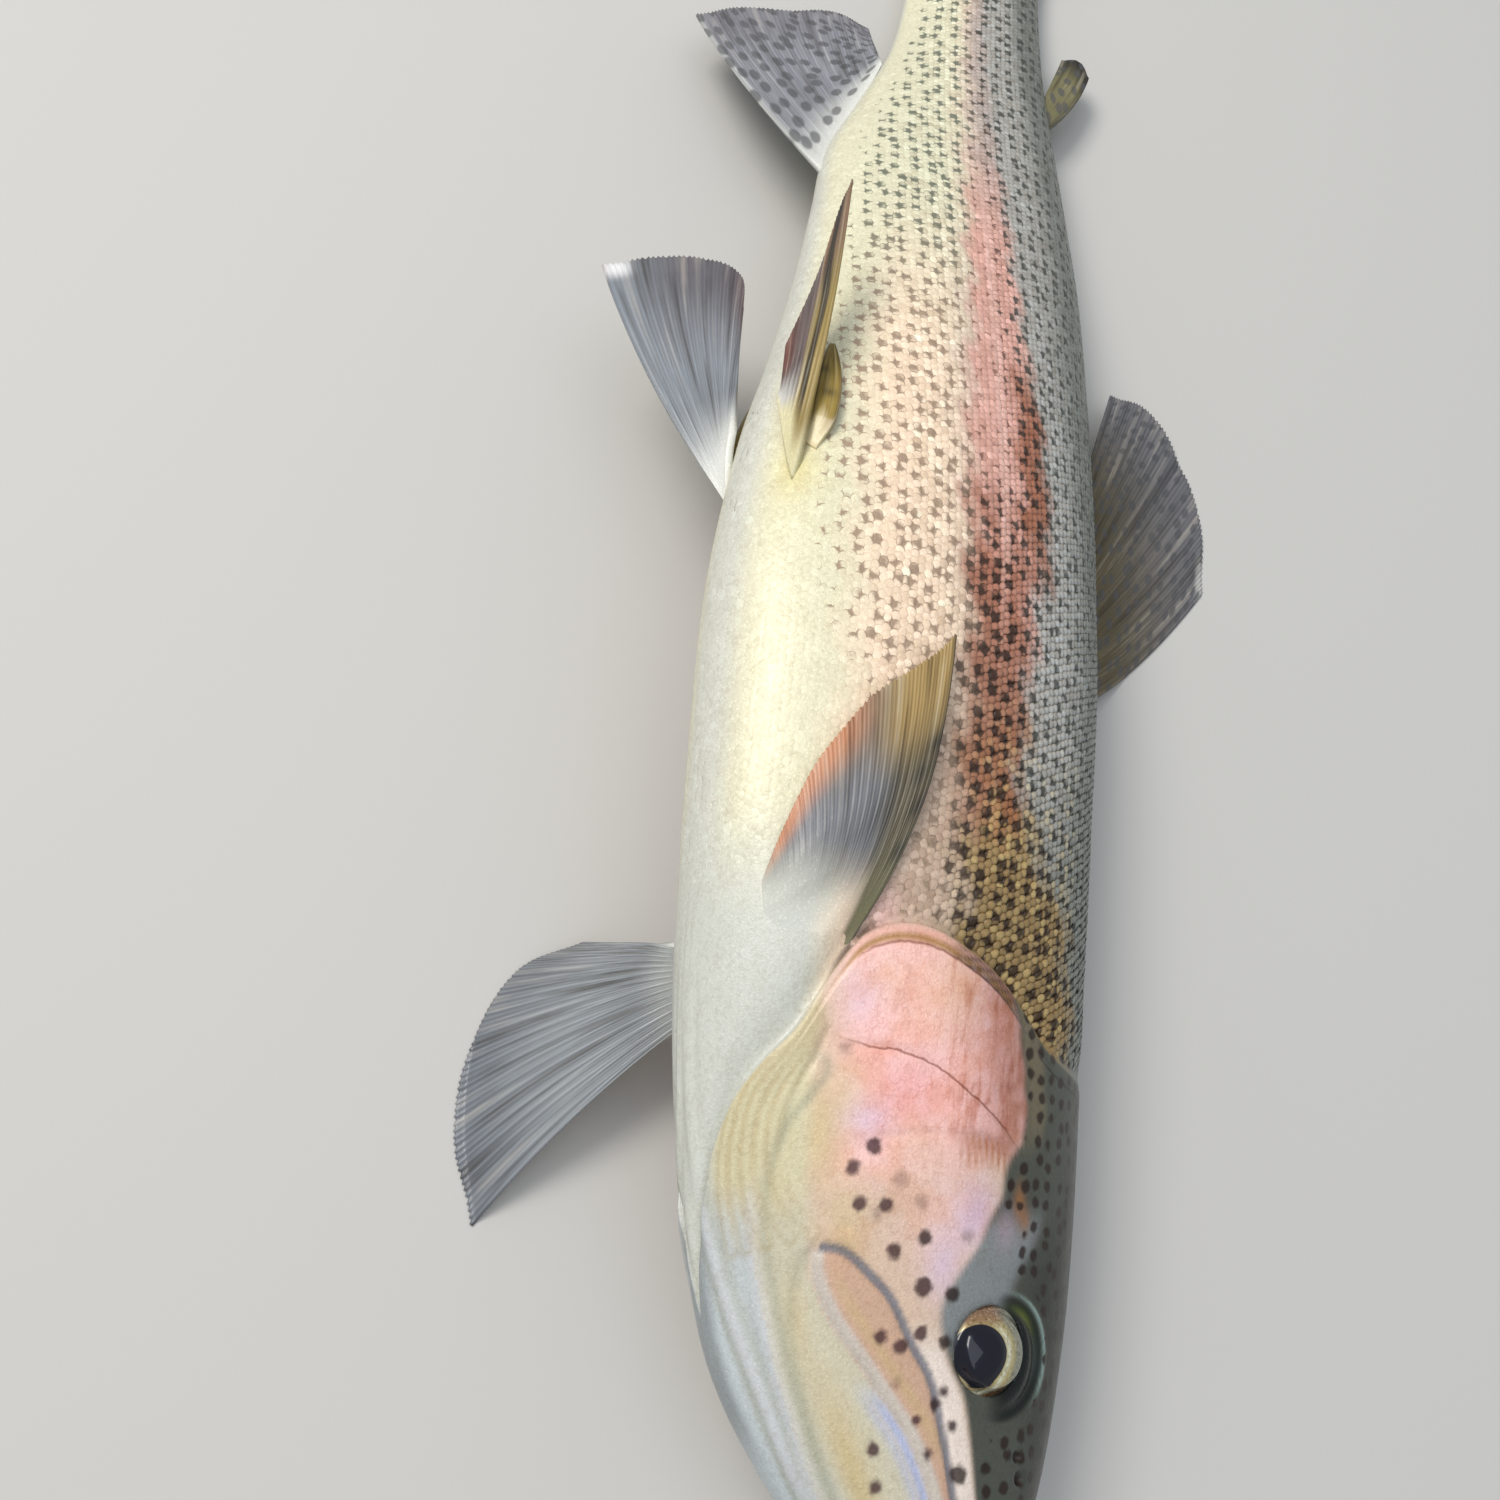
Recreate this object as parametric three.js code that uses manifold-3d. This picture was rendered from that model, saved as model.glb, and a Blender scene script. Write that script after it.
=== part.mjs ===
// Rainbow trout, adult, life size: a still model lying on its left flank.
// Millimetres, +Z up. The snout points to +X, the back to +Y, the right flank up.
// Every point is first given in fish space (x, d, l): x runs from snout to tail,
// d toward the back, l toward the right flank. place() bends it into the pose.
import * as THREE from 'three';
import { ParametricGeometry } from 'three/addons/geometries/ParametricGeometry.js';
import { mergeVertices } from 'three/addons/utils/BufferGeometryUtils.js';
import Module from 'manifold-3d';

// ---------------------------------------------------------------- dimensions
const BODY_LENGTH = 440;
const GAP = 0.3;
const EYE = { x: 52, d: 5, radius: 10, halfDepth: 6.2, sunk: 3.8 };
const GILL_COVER_DEPTH = 3;
const MAXILLA_DEPTH = 1.6;
const HEAD_END = 112;
const FRONT_END = 215;
const MIDDLE_END = 315;

const COLOURS = { flank: 0xb59a84, belly: 0xe6dfc8, back: 0x6f6a48, fin: 0x8a8470, eye: 0x1a1c22 };

// Body sections: [x, height of back, depth of belly, half width].
const SECTIONS = [
  [0, 0, 0, 0],
  [1, 3.6, 3.6, 4.2],
  [4, 7.5, 7.5, 7.5],
  [12, 14.5, 15, 11.5],
  [28, 24, 27, 16.5],
  [50, 32, 38.5, 20.5],
  [72, 37, 43.5, 24],
  [97, 41, 46.5, 26.5],
  [123, 44.5, 49, 28],
  [150, 48, 51, 28.5],
  [190, 50, 52, 28.5],
  [223, 48.5, 49, 27],
  [246, 46, 44.5, 25],
  [272, 42, 40.5, 22.5],
  [300, 37, 38, 19.5],
  [322, 32, 36.5, 16.5],
  [345, 27, 30, 13.5],
  [372, 22, 22.5, 10],
  [405, 19, 19.5, 7.5],
  [425, 20, 20, 6],
  [440, 22, 22, 5],
];

// Pose: roll of the body about its axis, in degrees, and the sideways bend.
const ROLL = { head: 14.7, middle: 29.2, tail: 0 };
const BEND = { first: 14.7, second: 46.5, third: -28.2, from: 150, over: 290 };
const AXIS_HEIGHT = { middle: 33.6, tailDrop: 28.6, headDrop: 5.5, finDrop: 4.9 };

// Outlines on the side of the head, as [x, d].
const GILL_COVER_OUTLINE = [
  [88, 15], [97, 17.5], [106.5, 17.5], [113, 12.5], [118.5, 5], [122.5, -3], [125.8, -12], [126, -20],
  [123.5, -26], [117.5, -30], [111, -33.5], [104, -37], [96, -36], [90, -29], [86.5, -15], [86, 0],
];
const MOUTH_LINE = [
  [14, -4.4], [20, -5], [28.5, -7], [38, -10.5], [44, -14.2], [52, -19.3], [59.5, -24.3], [66, -27.2], [69.5, -28],
];
const MAXILLA_TOP = [
  [71.5, -26], [70, -22.8], [66, -18.3], [61.5, -13.8], [54, -10], [48, -6.8], [40, -4.6], [32, -3], [24, -2], [16, -1.8],
];

// Fins: root and outer margin from the leading ray to the last one, as [x, d, l].
const FINS = {
  dorsal_fin: {
    root: [[196, 50, 0], [223, 48.5, 0], [250, 45.5, 0]],
    margin: [[243, 87, 0], [262, 84, 0], [279, 75, 0], [288, 62, 0], [288, 51, 0]],
    bow: [-3, 2, 0], inset: 0.07, thick: [1.9, 0.7], grid: [6, 6],
  },
  adipose_fin: {
    root: [[361, 24.3, 0], [366, 23.2, 0], [372, 22.2, 0]],
    margin: [[382, 34, 0], [387, 31, 0], [386, 26, 0]],
    bow: [0, 1.5, 0], inset: 0.15, thick: [2.4, 1.4], grid: [4, 4],
  },
  caudal_fin: {
    root: [[436, 21, 0], [441, 0, 0], [436, -21, 0]],
    margin: [[500, 52, 0], [499, 38, 0], [494, 19, 0], [489, 0, 0], [494, -19, 0], [499, -38, 0], [500, -52, 0]],
    bow: [2, 0, 0], inset: 0.08, thick: [3.6, 0.8], grid: [5, 12],
  },
  anal_fin: {
    root: [[314, -37, 0], [340, -31.5, 0], [366, -23.8, 0]],
    margin: [[368, -74, -3], [377, -63, -2], [380, -49, -1], [382, -37, 0], [380, -28, 0]],
    bow: [-2, -3, 0], inset: 0.08, thick: [1.9, 0.7], grid: [6, 6],
  },
  pelvic_fin_right: {
    root: [[213, -45, 14], [219.5, -46.5, 11.5], [226, -47.6, 9]],
    margin: [[273, -45, 30], [268, -45.5, 27], [257, -46.5, 21.5], [246, -47.5, 15.5], [238, -48.2, 11]],
    bow: [0, -1, 1.5], inset: 0.1, thick: [2, 0.8], grid: [6, 4],
  },
  pelvic_fin_left: {
    root: [[213, -46.8, -11], [220, -48, -8.5], [227, -48.6, -6]],
    margin: [[267, -79, -21], [274, -68, -16], [276, -58, -11], [272, -50, -8], [262, -48.5, -7]],
    bow: [0, -2, -3], inset: 0.07, thick: [2, 0.7], grid: [6, 5],
  },
  pectoral_fin_left: {
    root: [[115, -28.5, -23.5], [120, -35.5, -20.5], [124, -41.5, -15.5]],
    margin: [[75, -68, -53], [91, -69, -58], [108, -64, -61], [122, -54, -60], [128, -43, -51]],
    bow: [0, -2, 2], inset: 0.06, thick: [2.2, 0.8], grid: [6, 6],
  },
};

// The right pectoral fin and the lobes above the pelvic fins lie along the flank.
const FLANK_FINS = {
  pectoral_fin_right: {
    root: [[117, -28], [121, -34.5], [124, -41]],
    margin: [[181, -15.5], [172, -23.5], [164, -32], [153, -38.5], [141, -41.5], [131, -42.5]],
    side: 1, lift: [-2.2, 2.6], bow: [0, 2.5], thick: [2, 0.7], grid: [8, 6],
  },
  pelvic_lobe_right: {
    root: [[214, -41.4], [216, -43.6]], margin: [[241, -38.8], [241, -39.6]],
    side: 1, lift: [-1.5, 1.7], bow: [0, 0], thick: [1.8, 1.2], grid: [6, 2], belly: 1.4,
  },
  pelvic_lobe_left: {
    root: [[214, -41.4], [216, -43.6]], margin: [[241, -38.8], [241, -39.6]],
    side: -1, lift: [-1.5, 1.7], bow: [0, 0], thick: [1.8, 1.2], grid: [6, 2], belly: 1.4,
  },
};

// ------------------------------------------------------------ curves and pose
function smooth(from, to, x) {
  const t = THREE.MathUtils.clamp((x - from) / (to - from), 0, 1);
  return t * t * (3 - 2 * t);
}

// Smooth curve through the knots of one column of SECTIONS.
function section(column, x) {
  const last = SECTIONS.length - 1;
  const at = THREE.MathUtils.clamp(x, 0, BODY_LENGTH);
  let i = 0;
  while (i < last - 1 && SECTIONS[i + 1][0] <= at) i += 1;
  const slope = (k) => {
    const a = SECTIONS[Math.max(k - 1, 0)];
    const b = SECTIONS[Math.min(k + 1, last)];
    return (b[column] - a[column]) / (b[0] - a[0]);
  };
  const step = SECTIONS[i + 1][0] - SECTIONS[i][0];
  const t = (at - SECTIONS[i][0]) / step;
  const start = SECTIONS[i][column];
  const end = SECTIONS[i + 1][column];
  const rise = slope(i) * step * (t ** 3 - 2 * t * t + t) + slope(i + 1) * step * (t ** 3 - t * t);
  return start * (2 * t ** 3 - 3 * t * t + 1) + end * (3 * t * t - 2 * t ** 3) + rise;
}

// Half width of the body at (x, d).
function flank(x, d) {
  const reach = d > 0 ? section(1, x) : section(2, x);
  return section(3, x) * Math.sqrt(Math.max(0, 1 - (d / reach) ** 2));
}

function axisPoint(x) {
  const u = (x - BEND.from) / BEND.over;
  const y = BEND.first * u + BEND.second * u * u + BEND.third * u ** 3;
  const tail = AXIS_HEIGHT.tailDrop * smooth(175, 460, x) + AXIS_HEIGHT.finDrop * smooth(440, 498, x);
  const head = AXIS_HEIGHT.headDrop * (1 - smooth(40, 170, x));
  return new THREE.Vector3(-x, y, AXIS_HEIGHT.middle - tail - head);
}

// Fish space to the lying pose; nothing reaches below the floor at z = 0.
function place(x, d, l) {
  const tailward = axisPoint(x + 0.5).sub(axisPoint(x - 0.5)).normalize();
  const back = new THREE.Vector3(0, 1, 0);
  back.addScaledVector(tailward, -back.dot(tailward)).normalize();
  const right = new THREE.Vector3().crossVectors(tailward.clone().negate(), back);
  const middle = ROLL.head + (ROLL.middle - ROLL.head) * smooth(40, 170, x);
  const roll = THREE.MathUtils.degToRad(middle + (ROLL.tail - ROLL.middle) * smooth(200, 420, x));
  const point = axisPoint(x);
  point.addScaledVector(back, d * Math.cos(roll) + l * Math.sin(roll));
  point.addScaledVector(right, l * Math.cos(roll) - d * Math.sin(roll));
  return point;
}

// ------------------------------------------------------------ solids
const wasm = await Module();
wasm.setup();

function solid(geometry) {
  const bare = geometry.clone();
  bare.deleteAttribute('normal');
  bare.deleteAttribute('uv');
  const welded = mergeVertices(bare, 1e-4);
  const positions = welded.attributes.position.array;
  const faces = [];
  const corner = (k) => new THREE.Vector3().fromArray(positions, 3 * k);
  let volume = 0;
  for (let i = 0; i < welded.index.count; i += 3) {
    const [a, b, c] = [0, 1, 2].map((k) => welded.index.getX(i + k));
    if (a === b || b === c || a === c) continue;
    volume += corner(a).dot(corner(b).cross(corner(c)));
    faces.push([a, b, c]);
  }
  const outward = volume > 0 ? faces : faces.map(([a, b, c]) => [a, c, b]);
  return new wasm.Manifold(new wasm.Mesh({
    numProp: 3,
    vertProperties: new Float32Array(positions),
    triVerts: new Uint32Array(outward.flat()),
  }));
}

// The whole body, its sections grown by an amount (negative shrinks them).
function body(grow) {
  const rows = 42;
  const around = 32;
  const surface = (u, v, target) => {
    const row = Math.round(u * rows);
    const x = BODY_LENGTH * Math.min(1, row / (rows - 1)) ** 1.35;
    const size = row === 0 || row === rows ? 0 : 1;
    const angle = 2 * Math.PI * v;
    const reach = Math.cos(angle) > 0 ? section(1, x) : section(2, x);
    const d = size * Math.max(0.2, reach + grow) * Math.cos(angle);
    const l = size * Math.max(0.2, section(3, x) + grow) * Math.sin(angle);
    target.copy(place(x, d, Math.abs(Math.sin(angle)) < 1e-9 ? 0 : l));
    target.z = Math.max(0, target.z);
    if (v === 1) surface(u, 0, target);
  };
  return solid(new ParametricGeometry(surface, rows, around));
}

// A block of fish space between two stations.
function slab(x0, x1) {
  const block = new THREE.BoxGeometry(x1 - x0, 160, 120, Math.ceil((x1 - x0) / 30), 1, 1);
  block.translate((x0 + x1) / 2, 0, 0);
  return solid(bend(block));
}

function bend(geometry) {
  const p = geometry.attributes.position;
  for (let i = 0; i < p.count; i += 1) {
    const q = place(p.getX(i), p.getY(i), p.getZ(i));
    p.setXYZ(i, q.x, q.y, q.z);
  }
  return geometry;
}

// A prism through the head: outline in (x, d), between two values of l.
function prism(outline, l0, l1) {
  const shape = new THREE.Shape(outline.map(([x, d]) => new THREE.Vector2(x, d)));
  const block = new THREE.ExtrudeGeometry(shape, { depth: l1 - l0, bevelEnabled: false });
  block.translate(0, 0, l0);
  return solid(bend(block));
}

// Outline moved outward by an amount.
function widen(outline, amount) {
  const area = THREE.ShapeUtils.area(outline.map(([x, d]) => new THREE.Vector2(x, d)));
  const turn = area > 0 ? 1 : -1;
  return outline.map(([x, d], i) => {
    const [ax, ad] = outline[(i + outline.length - 1) % outline.length];
    const [bx, bd] = outline[(i + 1) % outline.length];
    const normal = new THREE.Vector2(bd - ad, ax - bx).normalize().multiplyScalar(turn * amount);
    return [x + normal.x, d + normal.y];
  });
}

// A fin: a plate about a mid surface, thick at the root and thin at the margin.
function plate(mid, thick, [along, across]) {
  const rings = along + 2;
  const loop = 2 * across + 2;
  const surface = (u, v, target) => {
    const ring = Math.round(u * rings);
    const s = THREE.MathUtils.clamp((ring - 1) / along, 0, 1);
    const k = Math.round(v * loop) % loop;
    const top = k <= across;
    const c = top ? k / across : (loop - 1 - k) / across;
    const e = 1e-3;
    const ds = mid(Math.min(1, s + e), c).sub(mid(Math.max(0, s - e), c));
    const dc = mid(s, Math.min(1, c + e)).sub(mid(s, Math.max(0, c - e)));
    const half = THREE.MathUtils.lerp(thick[0], thick[1], s) / 2;
    const closed = ring === 0 || ring === rings;
    const middle = mid(s, c);
    middle.z = Math.max(middle.z, half);
    target.copy(middle);
    if (!closed) target.addScaledVector(ds.cross(dc).normalize(), top ? half : -half);
    target.z = Math.max(0, target.z);
  };
  return solid(new ParametricGeometry(surface, rings, loop));
}

function freeFin({ root, margin, bow, inset, thick, grid }) {
  const rootCurve = new THREE.CatmullRomCurve3(root.map((p) => new THREE.Vector3(...p)));
  const marginCurve = new THREE.CatmullRomCurve3(margin.map((p) => new THREE.Vector3(...p)));
  const mid = (s, c) => {
    const t = -inset + (1 + inset) * s;
    const p = rootCurve.getPoint(c).lerp(marginCurve.getPoint(c), t);
    p.addScaledVector(new THREE.Vector3(...bow), 4 * t * (1 - t) * (1 - c));
    return place(p.x, p.y, p.z);
  };
  return plate(mid, thick, grid);
}

function flankFin({ root, margin, side, lift, bow, thick, grid, belly = 0 }) {
  const rootCurve = new THREE.SplineCurve(root.map((p) => new THREE.Vector2(...p)));
  const marginCurve = new THREE.SplineCurve(margin.map((p) => new THREE.Vector2(...p)));
  const mid = (s, c) => {
    const from = rootCurve.getPoint(c);
    const p = from.lerp(marginCurve.getPoint(c), s);
    p.x += bow[0] * 4 * s * (1 - s) * (1 - c);
    p.y += bow[1] * 4 * s * (1 - s) * (1 - c) + belly * 4 * s * (1 - s) * (1 - 2 * c);
    const height = lift[0] + (lift[1] - lift[0]) * smooth(0, 0.25, s);
    return place(p.x, p.y, side * (flank(p.x, p.y) + height));
  };
  return plate(mid, thick, grid);
}

function eyeball(side, grow) {
  const ball = new THREE.SphereGeometry(1, 16, 9);
  ball.rotateX(Math.PI / 2);
  ball.scale(EYE.radius + grow, EYE.radius + grow, EYE.halfDepth + grow);
  ball.translate(EYE.x, EYE.d, side * (flank(EYE.x, EYE.d) - EYE.sunk));
  return solid(bend(ball));
}

// ------------------------------------------------------------ the fish
const whole = body(0);
const clearance = body(GAP);
const group = new THREE.Group();
group.name = 'rainbow_trout';

function add(name, manifold, colour, roughness = 0.35) {
  const mesh = manifold.getMesh();
  const geometry = new THREE.BufferGeometry();
  geometry.setAttribute('position', new THREE.BufferAttribute(new Float32Array(mesh.vertProperties), 3));
  geometry.setIndex(new THREE.BufferAttribute(new Uint32Array(mesh.triVerts), 1));
  geometry.computeVertexNormals();
  const part = new THREE.Mesh(geometry, new THREE.MeshStandardMaterial({ color: colour, roughness }));
  part.name = name;
  group.add(part);
}

// Gill covers: plates let into the sides of the head.
const coverBed = body(-GILL_COVER_DEPTH - GAP);
const coverShell = whole.subtract(body(-GILL_COVER_DEPTH));
const maxillaBed = body(-MAXILLA_DEPTH - GAP);
const maxillaShell = whole.subtract(body(-MAXILLA_DEPTH));
const maxillaOutline = [...MOUTH_LINE, ...MAXILLA_TOP];
let head = whole.intersect(slab(-5, HEAD_END));
let front = whole.intersect(slab(HEAD_END + GAP, FRONT_END));
for (const side of [1, -1]) {
  const name = side > 0 ? 'right' : 'left';
  const range = side > 0 ? [6, 50] : [-50, -6];
  add(`gill_cover_${name}`, coverShell.intersect(prism(GILL_COVER_OUTLINE, ...range)), COLOURS.flank);
  const coverRoom = prism(widen(GILL_COVER_OUTLINE, GAP), ...range).subtract(coverBed);
  head = head.subtract(coverRoom);
  front = front.subtract(coverRoom);
  add(`maxilla_${name}`, maxillaShell.intersect(prism(maxillaOutline, ...range)), COLOURS.flank);
  head = head.subtract(prism(widen(maxillaOutline, GAP), ...range).subtract(maxillaBed));
  add(`eye_${name}`, eyeball(side, 0), COLOURS.eye, 0.05);
  head = head.subtract(eyeball(side, GAP));
}

// Lower jaw: everything under the mouth line, back to the jaw joint.
const jawTop = [[-5, -3.7], [8, -4.1], ...MOUTH_LINE];
const jawOutline = [...jawTop, [74, -33], [76, -60], [-5, -60]];
const jawBlock = prism(jawOutline, -50, 50);
add('lower_jaw', head.intersect(prism(widen(jawOutline, -GAP), -50, 50)), COLOURS.belly);
head = head.subtract(jawBlock);
add('head', head, COLOURS.back);

// Trunk and tail stalk.
add('trunk_front', front, COLOURS.flank);
add('trunk_middle', whole.intersect(slab(FRONT_END + GAP, MIDDLE_END)), COLOURS.flank);
add('tail_stalk', whole.intersect(slab(MIDDLE_END + GAP, BODY_LENGTH + 5)), COLOURS.flank);

// Fins stand on the body with a thin gap at the root.
for (const [name, fin] of Object.entries(FINS)) {
  add(name, freeFin(fin).subtract(clearance), COLOURS.fin);
}
for (const [name, fin] of Object.entries(FLANK_FINS)) {
  add(name, flankFin(fin).subtract(clearance), COLOURS.fin);
}

// Origin under the middle of the box that holds the model, on the floor.
const box = new THREE.Box3();
for (const part of group.children) {
  box.expandByObject(part);
}
for (const part of group.children) {
  part.geometry.translate(-(box.min.x + box.max.x) / 2, -(box.min.y + box.max.y) / 2, -box.min.z);
}

export default group;
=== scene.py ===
import bmesh
import bpy
import numpy as np
from mathutils import Euler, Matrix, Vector


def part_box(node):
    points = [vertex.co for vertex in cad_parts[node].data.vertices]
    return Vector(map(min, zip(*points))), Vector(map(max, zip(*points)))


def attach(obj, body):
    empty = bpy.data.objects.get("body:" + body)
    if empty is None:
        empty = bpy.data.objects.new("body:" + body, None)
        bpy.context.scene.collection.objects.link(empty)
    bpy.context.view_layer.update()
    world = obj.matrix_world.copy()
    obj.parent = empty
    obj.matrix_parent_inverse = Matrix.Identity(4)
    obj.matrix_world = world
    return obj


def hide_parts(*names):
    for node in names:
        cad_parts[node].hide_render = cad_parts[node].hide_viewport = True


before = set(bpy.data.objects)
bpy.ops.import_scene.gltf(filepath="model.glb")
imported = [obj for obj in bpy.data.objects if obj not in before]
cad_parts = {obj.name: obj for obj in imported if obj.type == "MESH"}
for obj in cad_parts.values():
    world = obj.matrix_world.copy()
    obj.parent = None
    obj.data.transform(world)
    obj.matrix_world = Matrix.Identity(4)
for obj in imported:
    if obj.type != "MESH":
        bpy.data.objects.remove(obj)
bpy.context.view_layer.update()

# ---------------------------------------------------------------------------
# Skin: one closed wet hide over head, jaws, gill covers and trunk. The bones of
# the face stand out as plates with grooves between, and the gill cover ends in
# a soft rim over the gill opening. Behind it the hide lies a scale's depth down.
# ---------------------------------------------------------------------------
# Every place on the fish is (x, d, l) in millimetres: x from the snout to the tail, d toward the back,
# l toward the right flank. It lies on its left flank, belly rolled up, bent a little sideways.
MM = 0.001
BODY_LENGTH = 440
# x, height of the back, depth of the belly, half width
SECTIONS = np.array([
    [0, 0, 0, 0], [1, 3.6, 3.6, 4.2], [4, 7.5, 7.5, 7.5], [12, 14.5, 15, 11.5],
    [28, 24, 27, 16.5], [50, 32, 38.5, 20.5], [72, 37, 43.5, 24], [97, 41, 46.5, 26.5],
    [123, 44.5, 49, 28], [150, 48, 51, 28.5], [190, 50, 52, 28.5], [223, 48.5, 49, 27],
    [246, 46, 44.5, 25], [272, 42, 40.5, 22.5], [300, 37, 38, 19.5], [322, 32, 36.5, 16.5],
    [345, 27, 30, 13.5], [372, 22, 22.5, 10], [405, 19, 19.5, 7.5], [425, 20, 20, 6],
    [440, 22, 22, 5],
])
# Turn of the body about its length, its bend to the side, and how high its axis lies.
ROLL_HEAD, ROLL_MIDDLE, ROLL_TAIL = np.radians((14.7, 29.2, 0.0))
BEND = (14.7, 46.5, -28.2)
AXIS_HEIGHT, TAIL_DROP, HEAD_DROP, FIN_DROP = 33.6, 28.6, 5.5, 4.9
EYE_AT = (52, 5)
EYE_SUNK = 3.8


def smooth(start, end, x):
    t = np.clip((x - start) / (end - start), 0, 1)
    return t * t * (3 - 2 * t)


def through(knots, values, x):
    """A smooth curve through the knots."""
    knots, values = np.asarray(knots, float), np.asarray(values, float)
    x = np.clip(x, knots[0], knots[-1])
    slope = np.empty_like(values)
    slope[1:-1] = (values[2:] - values[:-2]) / (knots[2:] - knots[:-2])
    slope[0] = (values[1] - values[0]) / (knots[1] - knots[0])
    slope[-1] = (values[-1] - values[-2]) / (knots[-1] - knots[-2])
    i = np.clip(np.searchsorted(knots, x, side="right") - 1, 0, len(knots) - 2)
    step = knots[i + 1] - knots[i]
    t = (x - knots[i]) / step
    bulge = slope[i] * step * (t**3 - 2 * t * t + t) + slope[i + 1] * step * (t**3 - t * t)
    return values[i] * (2 * t**3 - 3 * t * t + 1) + values[i + 1] * (3 * t * t - 2 * t**3) + bulge


def section(column, x):
    """Height of the back (1), depth of the belly (2) or half width (3) of the body."""
    return through(SECTIONS[:, 0], SECTIONS[:, column], x)


def axis_point(x):
    u = (x - 150) / 290
    y = BEND[0] * u + BEND[1] * u**2 + BEND[2] * u**3
    tail = TAIL_DROP * smooth(175, 460, x) + FIN_DROP * smooth(440, 498, x)
    head = HEAD_DROP * smooth(170, 40, x)
    return np.stack([-x, y, AXIS_HEIGHT - tail - head], -1)


def unit(v):
    return v / np.maximum(np.linalg.norm(v, axis=-1, keepdims=True), 1e-12)


def place(x, d, l, floor=0.0):
    """Fish places to points of the lying pose, in mm."""
    x, d, l = np.broadcast_arrays(*(np.asarray(v, float) for v in (x, d, l)))
    tailward = unit(axis_point(x + 0.5) - axis_point(x - 0.5))
    back = np.zeros_like(tailward)
    back[..., 1] = 1
    back = unit(back - tailward * tailward[..., 1:2])
    right = np.cross(-tailward, back)
    roll = ROLL_HEAD + (ROLL_MIDDLE - ROLL_HEAD) * smooth(40, 170, x)
    roll = roll + (ROLL_TAIL - ROLL_MIDDLE) * smooth(200, 420, x)
    c, s = np.cos(roll)[..., None], np.sin(roll)[..., None]
    d, l = d[..., None], l[..., None]
    point = axis_point(x) + back * (d * c + l * s) + right * (l * c - d * s)
    point[..., 2] = np.maximum(point[..., 2], floor)
    return point


def reach_at(x, upward):
    """How far the outline reaches toward the back, or toward the belly where upward is negative."""
    return np.where(upward > 0, section(1, x), section(2, x))


def flank(x, d):
    """Half width of the body at a height."""
    return section(3, x) * np.sqrt(np.maximum(0, 1 - (d / reach_at(x, d)) ** 2))


eye_low, eye_high = (np.array(corner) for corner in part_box("eye_right"))
ORIGIN = (eye_low + eye_high) / 2 - MM * place(*EYE_AT, flank(*EYE_AT) - EYE_SUNK)
ORIGIN[2] = 0

HEAD_DEPTH, TRUNK_DEPTH, OPENING_DEPTH = 0.35, 0.95, 1.7
# Rim of the gill cover: degrees round from the back, and x.
RIM = np.array([
    [0, 99], [40, 102], [62, 106], [73, 112], [83, 118], [93, 122.5], [104, 125.8], [113, 126],
    [121, 123.6], [127, 118], [136, 107.5], [146, 101], [155, 94.5], [163, 86], [171, 73], [180, 60],
])
# Radius and place of the eye's hole in the hide, and of the fold round its socket.
EYE_HOLE, HOLE_AT, HOLE_SQUASH = 7.95, (52.0, 6.2), 1.03
ORBIT, ORBIT_AT = 11.6, (50.4, 8.4)
# Lines on the face as x and degrees round from the back; the mouth as x and d.
MAXILLA_TOP = [(12, 97), (22, 95), (32, 96), (40, 97.5), (48, 99.5),
               (54, 104), (61.6, 109), (66, 114.5), (70, 121), (71, 127)]
MOUTH = [(1, -3.6), (8, -4), (18, -5), (28.6, -7), (38, -10.4), (44.2, -14.1),
         (52, -19.4), (59.6, -24.6), (66, -27.4), (70.5, -28)]
PREOPERCLE = [(106, 126), (104.5, 118), (104, 110), (101.5, 100), (97.5, 91.5), (92.5, 81), (87, 72)]
CHEEK_FOLD = [(89, 113), (90, 102), (89.5, 92), (88.5, 82), (86, 74)]
# Edge of the jaw's membrane: out beside the keel, and in along the folded rays.
MEMBRANE = [(112, 178), (104, 177), (96, 176), (80, 170), (64, 161), (48, 154), (32, 157), (14, 162)]
JAW_FOLD = [(100, 131), (97, 134.5), (91.7, 141), (83.2, 146), (72, 148),
            (58, 146), (44, 146), (32, 150), (14, 155)]
CHIN_FOLD = [(70, 133), (62, 137), (50, 139), (38, 141), (24, 145)]
INTEROPERCLE = [(106, 129), (102.2, 131), (96.7, 135), (91.7, 137), (86, 137),
                (81.4, 134), (77.9, 130), (74, 121)]
FAN_EDGE = [(112, 133), (107, 138), (103, 145.5), (98, 154), (91.8, 158.5), (85, 161.5), (79, 162), (70, 161)]
# Fleshy base of the pectoral fin as x and degrees; nostrils as x, d and radius.
FIN_BASE = (122, 138)
NOSTRILS = [(29.5, 12.5, 1.2), (33.2, 12.0, 1.0)]


def degrees_round(phi):
    """Degrees round the body from the back, down either side."""
    return np.degrees(np.minimum(phi, 2 * np.pi - phi))


def rim_at(turn):
    return through(RIM[:, 0], RIM[:, 1], turn)


def hide(x, phi, depth, floor=0.3):
    """A point at a depth under the body's outline; phi runs from the back (0) round the right flank."""
    reach = np.maximum(reach_at(x, np.cos(phi)), 1e-3)
    wide = np.maximum(section(3, x), 1e-3)
    depth = np.minimum(depth, 0.7 * np.minimum(reach, wide))
    n = unit(np.stack([np.cos(phi) / reach, np.sin(phi) / wide], -1))
    d = reach * np.cos(phi) - n[..., 0] * depth
    l = wide * np.sin(phi) - n[..., 1] * depth
    return ORIGIN + MM * place(x, d, l, floor)


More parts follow.
